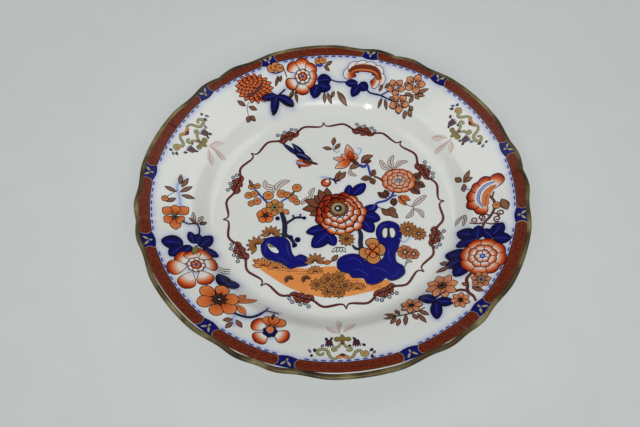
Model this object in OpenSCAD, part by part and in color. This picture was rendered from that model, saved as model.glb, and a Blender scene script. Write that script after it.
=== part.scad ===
// China dinner plate: a potted ironstone body with a lobed rim and a foot ring,
// gilding round the lip, and the coloured decoration fused onto the glaze.
// The origin is the centre of the foot ring, on the surface the plate rests on.

/* [Body] */
// Radius of the rim at the crest of a lobe
rim_radius = 130.6; // [126:0.1:136]
// Height of the lip above the table
rim_height = 27; // [24:0.5:30]
// Slope of the rim, rise over run
rim_slope = 0.305; // [0.26:0.005:0.34]
// Vertical thickness of the rim
rim_thickness = 3.1; // [2.8:0.1:4.5]
// Height of the well's floor above the table
floor_height = 6; // [5.5:0.1:7]
// Radius where the flat floor of the well ends
floor_radius = 77; // [72:0.5:80]
// Radius where the shoulder has become the rim
shoulder_radius = 95; // [92:0.5:100]

/* [Foot] */
// Outer radius of the foot ring
foot_radius = 80; // [76:0.5:82]
// Width of the foot ring where it stands
foot_width = 4; // [3:0.5:6]
// Height of the foot ring below the underside of the well
foot_height = 2; // [1.5:0.1:2.5]

/* [Lobes] */
// Direction of the first crease between two short lobes
crease_angle = 8; // [0:1:59]
// Radius of the arc that makes a long lobe
long_lobe_arc = 103.6; // [100:0.1:110]
// Radius of the arc that makes a short lobe
short_lobe_arc = 44.4; // [40:0.1:50]
// Angle from a crease to the crest of a short lobe
short_lobe_offset = 5.85; // [5:0.05:6.5]

/* [Decoration] */
// Thickness of the fused enamel and gilding
enamel = 0.2; // [0.15:0.05:0.3]
// Width of the gilding on the top of the lip
gilt_width = 1.3; // [1:0.1:2]
// Inner radius of the printed border
border_inner = 120.6; // [119:0.1:122]
// Outer radius of the printed border
border_outer = 128; // [127:0.1:128.4]
// Direction of the middle of the first short red panel
border_angle = 3.6; // [0:0.1:59]
// Angle that one cobalt cartouche covers
cartouche_angle = 6.6; // [5:0.1:8]

/* [Hidden] */
$fn = 96;

lobe_groups = 6;
long_lobe_offset = 180 / lobe_groups;
short_crest = 0.2;            // a short lobe stops this far inside a long one
foot_edge = 0.5;              // bevel on both edges of the foot ring
shoulder_steps = 18;
profile_reach = rim_radius + 3;
print_shift = [1.2, 0];       // the central print sits slightly off the plate's centre
border_shift = [0.2, 1.6];    // and so does the border's print
cartouche_offset = 12.5;
high = 60;

white = [0.94, 0.94, 0.92];
gilt = [0.55, 0.44, 0.2];
red = [0.52, 0.13, 0.07];
iron_red = [0.72, 0.2, 0.1];
cobalt = [0.05, 0.07, 0.42];
orange = [0.87, 0.5, 0.27];
maroon = [0.33, 0.1, 0.1];

// ---- the potted body

function blend(t) = t <= 0 ? 0 : t >= 1 ? 1 : t * t * (3 - 2 * t);

function rim_line(r) = rim_height - rim_slope * (rim_radius - r);

// Height of the glazed top face at radius r
function top_z(r) =
    floor_height
    + blend((r - floor_radius) / (shoulder_radius - floor_radius)) * (rim_line(r) - floor_height);

// Height of the underside outside the foot ring
function underside_z(r) =
    foot_height
    + blend((r - foot_radius) / (shoulder_radius + 2 - foot_radius))
      * (rim_line(r) - rim_thickness - foot_height);

// Points of the top face from the centre outwards, lifted by a given height
function top_points(lift) = concat(
    [[0, floor_height + lift]],
    [for (i = [0:shoulder_steps])
        let (r = floor_radius + (shoulder_radius - floor_radius) * i / shoulder_steps)
        [r, top_z(r) + lift]],
    [[profile_reach, rim_line(profile_reach) + lift]]);

// Points of the underside from the edge back to the foot ring
function underside_points() = concat(
    [[profile_reach, rim_line(profile_reach) - rim_thickness]],
    [for (i = [shoulder_steps:-1:0])
        let (r = foot_radius + (shoulder_radius + 2 - foot_radius) * i / shoulder_steps)
        [r, underside_z(r)]]);

function foot_points() = [
    [foot_radius - foot_edge, foot_edge],
    [foot_radius - 2 * foot_edge, 0],
    [foot_radius - 2 * foot_edge - foot_width, 0],
    [foot_radius - 3 * foot_edge - foot_width, foot_edge],
    [foot_radius - 4 * foot_edge - foot_width, foot_height],
    [0, foot_height]];

module body_of_revolution() {
    rotate_extrude() polygon(concat(top_points(0), underside_points(), foot_points()));
}

// The outline of the rim: six long lobes, with a pair of short lobes between each two
module lobed_outline(grow) {
    for (k = [0:lobe_groups - 1])
        rotate(crease_angle + k * 360 / lobe_groups) {
            rotate(long_lobe_offset)
                translate([rim_radius - long_lobe_arc, 0])
                    circle(long_lobe_arc + grow);
            for (side = [-1, 1])
                rotate(side * short_lobe_offset)
                    translate([rim_radius - short_crest - short_lobe_arc, 0])
                        circle(short_lobe_arc + grow);
        }
}

module plate_solid() {
    intersection() {
        body_of_revolution();
        linear_extrude(high) lobed_outline(0);
    }
}

// ---- layers that lie on the glaze

// A skin of enamel over the whole top face
module glaze_skin() {
    top = top_points(enamel);
    bottom = top_points(0);
    rotate_extrude() polygon(concat(top, [for (i = [len(bottom) - 1:-1:0]) bottom[i]]));
}

// Lays a flat drawing on the glaze
module enamelled() {
    intersection() {
        glaze_skin();
        linear_extrude(high) children();
    }
}

module sector(half_angle) {
    reach = 2 * rim_radius;
    polygon([[0, 0], reach * [cos(half_angle), -sin(half_angle)],
             reach * [cos(half_angle), sin(half_angle)]]);
}

module ring(inner, outer) {
    difference() {
        circle(outer);
        circle(inner);
    }
}

// A leaf or pointed petal that grows from the origin along +X
module leaf(length, width) {
    arc = (length * length / 4 + width * width / 4) / width;
    intersection_for (side = [-1, 1])
        translate([length / 2, side * (arc - width / 2)]) circle(arc);
}

// Leaves fanned out from one stalk
module leaf_fan(count, spread, length, width) {
    circle(width * 0.35);
    for (i = [0:count - 1])
        rotate(spread * (i / (count - 1) - 0.5)) translate([width * -0.1, 0]) leaf(length, width);
}

// A flower with round petals about its centre
module rosette(petals, radius) {
    petal = radius * sin(180 / petals) / (1 + sin(180 / petals)) * 1.25;
    union() {
        circle(radius * 0.55);
        for (i = [0:petals - 1])
            rotate(i * 360 / petals) translate([radius - petal, 0]) circle(petal);
    }
}

// A daisy or chrysanthemum with pointed petals
module star_flower(petals, radius) {
    circle(radius * 0.35);
    for (i = [0:petals - 1])
        rotate(i * 360 / petals) translate([radius * 0.15, 0]) leaf(radius * 0.85, radius * 0.4);
}

// Places a drawing at a point of the plate, turned by a given angle
module at(x, y, turn = 0) {
    translate([x, y]) rotate(turn) children();
}

// ---- printed border

module border_band(inner) {
    translate(border_shift) difference() {
        ring(inner, border_outer);
        children();
    }
}

// Runs its children at every cartouche of the border
module each_cartouche() {
    for (k = [0:lobe_groups - 1])
        for (side = [-1, 1])
            rotate(border_angle + k * 360 / lobe_groups + side * cartouche_offset)
                children();
}

// The outline of one cobalt cartouche, waisted by the round ends of the red panels
module cartouche_outline(grow) {
    mid = (border_inner + border_outer) / 2;
    end_round = (border_outer - border_inner) / 2 + 1.2;
    difference() {
        sector(cartouche_angle / 2 + 1);
        for (side = [-1, 1])
            rotate(side * (cartouche_angle / 2 - grow))
                translate([mid, side * end_round]) circle(end_round);
    }
}

module red_panels() {
    color(red) enamelled() border_band(border_inner)
        each_cartouche() cartouche_outline(-0.35);
}

module cobalt_cartouches() {
    color(cobalt) enamelled() translate(border_shift) intersection() {
        ring(border_inner - 1.4, border_outer);
        each_cartouche() cartouche_outline(0);
    }
}

module gilt_brackets() {
    color(gilt) enamelled() translate(border_shift) intersection() {
        ring(border_inner, border_outer);
        each_cartouche() difference() {
            cartouche_outline(-0.35);
            cartouche_outline(0);
        }
    }
}

// Gilding that wraps the lip, from the top face round to the underside
module gilt_edge() {
    inner = rim_radius - 6;
    color(gilt) difference() {
        intersection() {
            rotate_extrude() polygon([
                [inner, rim_line(inner) + enamel],
                [profile_reach, rim_line(profile_reach) + enamel],
                [profile_reach, rim_line(profile_reach) - rim_thickness - enamel],
                [inner, rim_line(inner) - rim_thickness - enamel]]);
            linear_extrude(high) difference() {
                lobed_outline(enamel);
                lobed_outline(-gilt_width);
            }
        }
        plate_solid();
    }
}

// ---- medallion in the well

line_width = 1.3;
barbs = 8;
barb_angle = 4.8;
// Radius of the medallion's line by the angle from the middle of one of its eight bays.
// It runs level in the middle, swells on both sides and rises to a barb at each end.
bay_profile = [[0, 69.8], [5, 69.8], [7, 70.8], [9, 72.4], [11, 73.3], [13, 73.2],
               [16, 72.2], [19, 71.4], [21.4, 71.8], [22.5, 75]];
bay_steps = [for (step = bay_profile) step[0]];

function line_point(bay, angle, side) =
    let (a = barb_angle + (bay + 0.5) * 360 / barbs + angle,
         r = lookup(abs(angle), bay_profile) + side * line_width / 2)
    [r * cos(a), r * sin(a)];

// The closed outline of the line's inner (side -1) or outer (side 1) edge
function line_outline(side) = [
    for (bay = [0:barbs - 1]) each concat(
        [for (i = [len(bay_steps) - 1:-1:1]) line_point(bay, -bay_steps[i], side)],
        [for (i = [0:len(bay_steps) - 2]) line_point(bay, bay_steps[i], side)])];

module medallion_line() {
    color(maroon) enamelled() translate(print_shift) difference() {
        polygon(line_outline(1));
        polygon(line_outline(-1));
    }
}

module orange_ground() {
    color(orange) enamelled() translate(print_shift) difference() {
        intersection() {
            circle(66.5);
            translate([-12, -110]) circle(70);
        }
        rocks_outline();
    }
}

module rocks_outline() {
    // left rock: a round head over a low tail
    at(-39, -29) circle(9.6);
    at(-35, -35) circle(6.5);
    at(-28, -40) circle(5);
    at(-22.5, -39) circle(4.6);
    // right rock: a tall neck over a broad base
    at(36, -19) circle(8.3);
    at(36.5, -31) square([7.6, 20], center = true);
    at(8, -41) circle(6.4);
    at(17, -43.5) circle(7.5);
    at(26, -48.5) circle(8.6);
    at(34, -44) circle(8);
    at(39.5, -47) circle(5.4);
}

module cobalt_rocks() {
    color(cobalt) enamelled() translate(print_shift) difference() {
        rocks_outline();
        at(-41, -29) circle(2.2);
        at(34.3, -19) circle(1.9);
        at(38.2, -19) circle(1.9);
    }
}

// Leaves round the great flower of the medallion, and the two trees' stems
module medallion_leaves() {
    color(cobalt) enamelled() translate(print_shift) {
        at(14, 11, 70) leaf_fan(3, 60, 11, 6);
        at(-6, -17, 225) leaf_fan(3, 80, 12, 7);
        at(22, -5, -55) leaf_fan(2, 60, 12, 8);
        at(-32, -17, 95) leaf(12, 3);
        at(-18, 40, 130) leaf_fan(2, 30, 22, 5);
    }
}

module rim_leaves() {
    color(cobalt) enamelled() {
        // top spray
        at(-37, 92, 215) leaf_fan(3, 130, 11, 5);
        at(-11, 101, -40) leaf_fan(3, 110, 12, 8);
        at(16, 100, -20) leaf_fan(3, 110, 11, 7);
        // left spray
        at(-95, -33, 190) leaf_fan(2, 45, 13, 9);
        at(-85, -33, 60) leaf_fan(3, 120, 10, 5);
        at(-75, -53, -40) leaf_fan(2, 60, 12, 8);
        // right spray
        at(90, -33, 120) leaf_fan(2, 45, 14, 8);
        at(100, -32, 25) leaf_fan(2, 50, 12, 8);
        at(82, -43, 190) leaf_fan(2, 60, 12, 9);
        at(62, -75, -75) leaf_fan(3, 150, 12, 5);
    }
}

module iron_red_flowers() {
    color(iron_red) enamelled() {
        at(-20, 108) rosette(7, 12.5);
        at(-88, -46, 12) rosette(6, 14);
        at(95, -45) rosette(8, 13);
        at(-41, -94) rosette(4, 10.5);
        // the two flowers seen from the side
        at(24, 104, 70) arched_flower(12);
        at(104, 2, 165) arched_flower(11);
        translate(print_shift) {
            at(3, 0) star_flower(14, 19);
            at(45, 22) rosette(10, 12);
            at(-20, 42, -35) leaf(14, 6);
        }
    }
}

// A flower seen from the side: a thick arc of petals that opens upwards
module arched_flower(radius) {
    intersection() {
        ring(radius * 0.45, radius);
        sector(75);
    }
}

module orange_flowers() {
    color(orange) enamelled() {
        // top spray
        at(-54, 96) star_flower(12, 11);
        at(-40, 112) rosette(3, 5.5);
        at(-7, 117.5) rosette(3, 4.5);
        at(47, 95) star_flower(5, 6.5);
        at(62, 96) star_flower(5, 7);
        at(49, 82) star_flower(5, 7);
        // left spray
        at(-103, -13) star_flower(6, 9);
        at(-74, -74) rosette(5, 12);
        // right spray
        at(69, -62) star_flower(7, 9);
        at(51, -76) star_flower(5, 6.5);
        at(76, -75) star_flower(5, 6);
        at(93, -63) star_flower(6, 6);
        translate(print_shift) {
            at(-40, 3) rosette(5, 5.5);
            at(-46, -3) rosette(5, 5.5);
            at(24, -33) star_flower(5, 9);
            at(8, -23) star_flower(8, 6);
            at(49, -15) star_flower(8, 7);
            at(10, 44, 90) leaf_fan(3, 120, 12, 5);
        }
    }
}

// One scroll ornament of the rim: paired scrolls that rise to a three-leaf sprig
module scroll_ornament() {
    for (side = [-1, 1]) {
        at(108, side * 8) ring(3.2, 4.6);
        at(112, side * 15) ring(2.2, 3.4);
        at(103, side * 4.5, side * 160) leaf(10, 2.4);
        at(106, side * 11, side * 150) leaf(7, 2.2);
    }
    at(101, 0) rosette(3, 3);
    at(97, 0, 180) leaf_fan(3, 110, 9, 2.8);
}

module gilt_scrolls() {
    color(gilt) enamelled()
        for (direction = [31.5, 151.2, 271])
            rotate(direction) scroll_ornament();
}

module plate_body() {
    color(white) plate_solid();
}

plate_body();
gilt_edge();
red_panels();
cobalt_cartouches();
gilt_brackets();
medallion_line();
orange_ground();
cobalt_rocks();
medallion_leaves();
rim_leaves();
iron_red_flowers();
orange_flowers();
gilt_scrolls();
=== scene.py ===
"""China dinner plate: a lobed ironstone body, a gilt lip and a hand-coloured print on the glaze.

Lengths are in millimetres until a mesh is made, where MM turns them into metres.
"""

import math

import bpy
import numpy as np
from mathutils import Matrix, Vector, geometry, kdtree


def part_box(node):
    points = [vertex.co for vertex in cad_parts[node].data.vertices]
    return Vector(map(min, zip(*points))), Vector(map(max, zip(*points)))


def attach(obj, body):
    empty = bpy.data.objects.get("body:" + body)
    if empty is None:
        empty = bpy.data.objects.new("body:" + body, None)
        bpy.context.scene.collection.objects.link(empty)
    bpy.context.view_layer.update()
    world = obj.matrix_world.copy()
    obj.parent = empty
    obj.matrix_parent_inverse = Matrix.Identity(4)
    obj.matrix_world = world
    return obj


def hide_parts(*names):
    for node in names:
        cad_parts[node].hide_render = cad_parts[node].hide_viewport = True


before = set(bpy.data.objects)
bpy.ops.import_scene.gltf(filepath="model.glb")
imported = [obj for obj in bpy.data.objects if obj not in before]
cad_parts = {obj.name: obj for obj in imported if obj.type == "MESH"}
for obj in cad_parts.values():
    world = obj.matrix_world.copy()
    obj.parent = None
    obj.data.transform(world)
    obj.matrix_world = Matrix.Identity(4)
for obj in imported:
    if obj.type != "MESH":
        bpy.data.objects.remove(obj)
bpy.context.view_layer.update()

MM = 0.001
plate_low, plate_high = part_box("plate_body")

# ---- the plate's form, as in part.scad
RIM_HEIGHT = plate_high.z / MM
RIM_RADIUS = 130.6
RIM_SLOPE = 0.305
RIM_THICKNESS = 3.1
FLOOR_HEIGHT = 6.0
FLOOR_RADIUS = 77.0
SHOULDER_RADIUS = 95.0
FOOT_RADIUS = 80.0
FOOT_WIDTH = 4.0
FOOT_HEIGHT = 2.0
FOOT_EDGE = 0.5
LIP_ROUND = 1.48
LIP_TILT = 17.0          # of the rim at the lip, in degrees
LOBE_PERIOD = 60.0
CREASE_ANGLE = 8.0
CREASE_DEPTH = 0.55
CREASE_WIDTH = 1.5
PRINT_SHIFT = (1.2, 0.0)
BORDER_SHIFT = (0.2, 1.6)

BAY_COUNT = 8            # bays of the medallion line, with a barb at each join
BAY_SPACING = 45.0
BAY_TURN = 4.8           # of the first barb from +X, in degrees
BAY_RADIUS = 69.8        # of the line in the middle of a bay

FIRST_LIFT = 0.1        # the lowest layer of colour stands this far above the glaze
LIFT_STEP = 0.003       # and each stroke this much above those under it
SHOULDER_SPREAD = 6.0   # layers lie this much further apart where the face curves most
SLAB_BOTTOM = -0.03
BLEED_REACH = 1.9       # how far cobalt runs into the glaze round it


def srgb(red, green, blue):
    """A colour given as 0-255 screen values, in the linear values that shaders take."""
    def linear(value):
        value /= 255
        return value / 12.92 if value <= 0.04045 else ((value + 0.055) / 1.055) ** 2.4
    return (linear(red), linear(green), linear(blue), 1.0)


# ---------------------------------------------------------------- surface

def blend(t):
    t = np.clip(t, 0.0, 1.0)
    return t * t * (3 - 2 * t)


def rim_line(r):
    return RIM_HEIGHT - RIM_SLOPE * (RIM_RADIUS - r)


def crease_distance(angle):
    """Angle in degrees from the nearest crease between two short lobes, from 0 to 30."""
    turn = np.mod(angle - CREASE_ANGLE, LOBE_PERIOD)
    return np.minimum(turn, LOBE_PERIOD - turn)


def edge_radius(angle):
    """Radius of the lobed lip: a crease, a short lobe, a soft hollow and then a long lobe."""
    away = crease_distance(angle)
    turning = ((0.0, 129.35), (5.6, 130.45), (11.8, 128.95), (21.0, 130.6), (30.0, 130.6))
    radius = np.full_like(away, turning[-1][1])
    for (start, low), (end, high) in zip(turning[:-1], turning[1:]):
        t = np.clip((away - start) / (end - start), 0, 1)
        t = t ** 0.8 if start == 0 else t
        wave = low + (high - low) * (1 - np.cos(np.pi * t)) / 2
        radius = np.where((away >= start) & (away <= end), wave, radius)
    return radius


def surface(x, y):
    """Height of the glazed top face at a point of the plan."""
    r = np.hypot(x, y)
    z = FLOOR_HEIGHT + blend((r - FLOOR_RADIUS) / (SHOULDER_RADIUS - FLOOR_RADIUS)) * (
        rim_line(r) - FLOOR_HEIGHT)
    angle = np.degrees(np.arctan2(y, x))
    away = crease_distance(angle)
    near = np.radians(away) * r / CREASE_WIDTH
    swell = np.cos(np.pi * np.clip(away / 11.8, 0, 2)) * 0.22
    z = z - CREASE_DEPTH * np.exp(-near ** 2) * blend((r - 110) / 20)
    return z - swell * blend((r - 112) / 18) * (away < 23.6)


def surface_normals(x, y):
    """Unit normals of the glazed top face."""
    step = 0.05
    slope_x = (surface(x + step, y) - surface(x - step, y)) / (2 * step)
    slope_y = (surface(x, y + step) - surface(x, y - step)) / (2 * step)
    normals = np.stack([-slope_x, -slope_y, np.ones_like(slope_x)], -1)
    return normals / np.linalg.norm(normals, axis=-1, keepdims=True)


def layer_height(x, y, layer):
    """Height of a layer of colour, with the layers spread apart over the curved shoulder."""
    middle = (FLOOR_RADIUS + SHOULDER_RADIUS) / 2
    spread = 1 + SHOULDER_SPREAD * np.exp(-((np.hypot(x, y) - middle) / 9) ** 2)
    return surface(x, y) + FIRST_LIFT + layer * LIFT_STEP * spread


def make_object(name, points, faces, material, tone=None, normals=None):
    """A piece on the plate's body, from points in millimetres."""
    mesh = bpy.data.meshes.new(name)
    mesh.from_pydata((np.asarray(points) * MM).tolist(), [], faces)
    mesh.shade_smooth()
    if tone is not None:
        attribute = mesh.attributes.new("tone", "FLOAT", "POINT")
        attribute.data.foreach_set("value", np.asarray(tone, np.float32))
    if normals is not None:
        mesh.normals_split_custom_set_from_vertices(np.asarray(normals).tolist())
    mesh.materials.append(material)
    piece = bpy.data.objects.new(name, mesh)
    bpy.context.scene.collection.objects.link(piece)
    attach(piece, "root")
    return piece


# ---------------------------------------------------------------- materials

def new_material(name):
    material = bpy.data.materials.new(name)
    material.use_nodes = True
    nodes = material.node_tree.nodes
    return material, nodes, material.node_tree.links, nodes["Principled BSDF"]


def add_noise(nodes, links, scale, detail=3.0):
    """Noise in the object's own space. The scale is in features a metre."""
    place = nodes.new("ShaderNodeTexCoord")
    noise = nodes.new("ShaderNodeTexNoise")
    noise.inputs["Scale"].default_value = scale
    noise.inputs["Detail"].default_value = detail
    links.new(place.outputs["Object"], noise.inputs["Vector"])
    return noise


def add_ramp(nodes, links, source, stops):
    ramp = nodes.new("ShaderNodeValToRGB")
    elements = ramp.color_ramp.elements
    while len(elements) < len(stops):
        elements.new(0.5)
    for element, (position, colour) in zip(elements, stops):
        element.position = position
        element.color = colour
    links.new(source, ramp.inputs["Fac"])
    return ramp


def add_bump(nodes, links, height, shader, strength, distance):
    bump = nodes.new("ShaderNodeBump")
    bump.inputs["Strength"].default_value = strength
    bump.inputs["Distance"].default_value = distance
    links.new(height, bump.inputs["Height"])
    links.new(bump.outputs["Normal"], shader.inputs["Normal"])


def toned_enamel(name, stops, grain=0.12, grain_scale=900.0, roughness=0.16):
    """Glossy enamel whose colour follows the stroke's tone, with a little brushed unevenness."""
    material, nodes, links, shader = new_material(name)
    tone = nodes.new("ShaderNodeAttribute")
    tone.attribute_name = "tone"
    noise = add_noise(nodes, links, grain_scale)
    uneven = nodes.new("ShaderNodeMath")
    uneven.operation = "MULTIPLY_ADD"
    links.new(noise.outputs["Fac"], uneven.inputs[0])
    uneven.inputs[1].default_value = grain
    links.new(tone.outputs["Fac"], uneven.inputs[2])
    shifted = nodes.new("ShaderNodeMath")
    shifted.operation = "SUBTRACT"
    links.new(uneven.outputs[0], shifted.inputs[0])
    shifted.inputs[1].default_value = grain / 2
    ramp = add_ramp(nodes, links, shifted.outputs[0], stops)
    links.new(ramp.outputs["Color"], shader.inputs["Base Color"])
    shader.inputs["Roughness"].default_value = roughness
    shader.inputs["Specular IOR Level"].default_value = 0.2
    ripple = add_noise(nodes, links, 500.0)
    add_bump(nodes, links, ripple.outputs["Fac"], shader, 0.15, 0.00008)
    return material


def plain_ink(name, colour, roughness=0.2):
    """A printed or painted line of one colour, pooled a little unevenly."""
    material, nodes, links, shader = new_material(name)
    shader.inputs["Base Color"].default_value = colour
    pooling = add_noise(nodes, links, 700.0)
    gloss = nodes.new("ShaderNodeMapRange")
    gloss.inputs["To Min"].default_value = roughness * 0.7
    gloss.inputs["To Max"].default_value = roughness * 1.5
    links.new(pooling.outputs["Fac"], gloss.inputs["Value"])
    links.new(gloss.outputs["Result"], shader.inputs["Roughness"])
    add_bump(nodes, links, pooling.outputs["Fac"], shader, 0.2, 0.00006)
    return material


def glaze_material():
    """White earthenware under a clear glaze, tinted where cobalt has bled into it."""
    material, nodes, links, shader = new_material("glazed_white")
    bleed = nodes.new("ShaderNodeAttribute")
    bleed.attribute_name = "tone"
    cloud = add_noise(nodes, links, 25.0)
    white = add_ramp(nodes, links, cloud.outputs["Fac"],
                     ((0.3, srgb(214, 215, 209)), (0.7, srgb(220, 221, 216))))
    mix = nodes.new("ShaderNodeMix")
    mix.data_type = "RGBA"
    links.new(bleed.outputs["Fac"], mix.inputs["Factor"])
    links.new(white.outputs["Color"], mix.inputs["A"])
    mix.inputs["B"].default_value = srgb(120, 136, 206)
    links.new(mix.outputs["Result"], shader.inputs["Base Color"])
    shader.inputs["Roughness"].default_value = 0.1
    ripple = add_noise(nodes, links, 70.0, 2.0)
    add_bump(nodes, links, ripple.outputs["Fac"], shader, 0.12, 0.0004)
    return material


def gilding_material():
    """Fired gold, rubbed dull in places."""
    material, nodes, links, shader = new_material("fired_gilding")
    wear = add_noise(nodes, links, 48.0, 8.0)
    ramp = add_ramp(nodes, links, wear.outputs["Fac"],
                    ((0.34, srgb(46, 36, 20)), (0.5, srgb(84, 70, 38)), (0.68, srgb(142, 132, 90))))
    links.new(ramp.outputs["Color"], shader.inputs["Base Color"])
    shader.inputs["Metallic"].default_value = 0.55
    dull = nodes.new("ShaderNodeMapRange")
    dull.inputs["To Min"].default_value = 0.28
    dull.inputs["To Max"].default_value = 0.5
    links.new(wear.outputs["Fac"], dull.inputs["Value"])
    links.new(dull.outputs["Result"], shader.inputs["Roughness"])
    add_bump(nodes, links, wear.outputs["Fac"], shader, 0.2, 0.0001)
    return material


MATERIALS = {
    "glaze": glaze_material(),
    "gilding": gilding_material(),
    "panel": toned_enamel("panel_red", ((0.0, srgb(46, 14, 8)), (0.35, srgb(92, 28, 10)),
                                        (0.62, srgb(120, 48, 16)), (1.0, srgb(56, 18, 16))),
                          grain=1.1, grain_scale=800.0, roughness=0.26),
    "cobalt": toned_enamel("cobalt_blue", ((0.0, srgb(16, 18, 128)), (0.5, srgb(8, 8, 96)),
                                           (0.85, srgb(6, 6, 52)), (1.0, srgb(7, 8, 30))),
                           grain=0.3, grain_scale=400.0),
    "red": toned_enamel("iron_red", ((0.0, srgb(218, 210, 206)), (0.22, srgb(208, 160, 134)),
                                     (0.48, srgb(200, 90, 34)), (0.75, srgb(154, 42, 14)),
                                     (1.0, srgb(88, 20, 12)))),
    "peach": toned_enamel("peach_enamel", ((0.0, srgb(132, 70, 44)), (0.4, srgb(196, 122, 82)),
                                           (1.0, srgb(208, 150, 112)))),
    "orange": toned_enamel("orange_enamel", ((0.0, srgb(126, 56, 28)), (0.35, srgb(198, 98, 42)),
                                             (0.7, srgb(208, 122, 68)), (1.0, srgb(164, 78, 38)))),
    "ochre": toned_enamel("ochre_enamel", ((0.0, srgb(112, 64, 30)), (0.4, srgb(176, 114, 58)),
                                           (0.75, srgb(190, 130, 80)), (1.0, srgb(140, 84, 50)))),
    "ground": toned_enamel("orange_ground", ((0.0, srgb(206, 118, 56)), (0.5, srgb(220, 142, 76)),
                                             (1.0, srgb(214, 156, 104))), grain=0.6, grain_scale=90.0),
    "leaf": toned_enamel("leaf_brown", ((0.0, srgb(156, 112, 84)), (0.45, srgb(118, 76, 54)),
                                        (1.0, srgb(52, 30, 26))), grain=0.5, grain_scale=700.0),
    "rust": toned_enamel("rust_leaf", ((0.0, srgb(150, 74, 50)), (0.5, srgb(112, 44, 32)),
                                       (1.0, srgb(60, 22, 20))), grain=0.5),
    "navy": plain_ink("navy_line", srgb(13, 14, 46)),
    "violet": plain_ink("violet_line", srgb(46, 54, 140)),
    "sky": plain_ink("pale_blue_line", srgb(140, 160, 202)),
    "olive": plain_ink("olive_gilding", srgb(120, 110, 52), 0.3),
    "pale_gold": plain_ink("pale_gilding", srgb(158, 150, 96), 0.3),
    "cream": plain_ink("cream_line", srgb(150, 140, 104), 0.3),
    "ink": plain_ink("brown_ink", srgb(46, 24, 26)),
    "maroon": plain_ink("maroon_ink", srgb(86, 30, 28)),
    "grey": plain_ink("grey_blue_ink", srgb(92, 96, 120)),
    "mist": plain_ink("berry_wash", srgb(154, 162, 182)),
    "plum": plain_ink("plum_ink", srgb(64, 16, 40)),
    "blush": plain_ink("blush_line", srgb(178, 150, 136), 0.25),
    "bisque": plain_ink("bisque_wash", srgb(206, 192, 184), 0.2),
    "moss": plain_ink("dull_gilding", srgb(112, 112, 78), 0.3),
    # white: glaze left bare in the print, and also the painted glint in the great flower's eye
    "white": plain_ink("reserved_white_and_glint", srgb(214, 216, 208), 0.12),
}

# ---------------------------------------------------------------- the painter


def smooth(points, closed=False, step=1.1):
    """Points along a smooth curve through the given ones."""
    points = np.asarray(points, float)
    count = len(points)
    spans = range(count if closed else count - 1)
    made = []
    for i in spans:
        if closed:
            a, b, c, d = (points[(i + k) % count] for k in (-1, 0, 1, 2))
        else:
            a, b, c, d = (points[min(max(i + k, 0), count - 1)] for k in (-1, 0, 1, 2))
        pieces = max(2, int(np.linalg.norm(c - b) / step))
        for t in np.arange(pieces) / pieces:
            made.append(0.5 * (2 * b + (c - a) * t + (2 * a - 5 * b + 4 * c - d) * t ** 2
                               + (3 * b - a - 3 * c + d) * t ** 3))
    if not closed:
        made.append(points[-1])
    return np.array(made)


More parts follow.
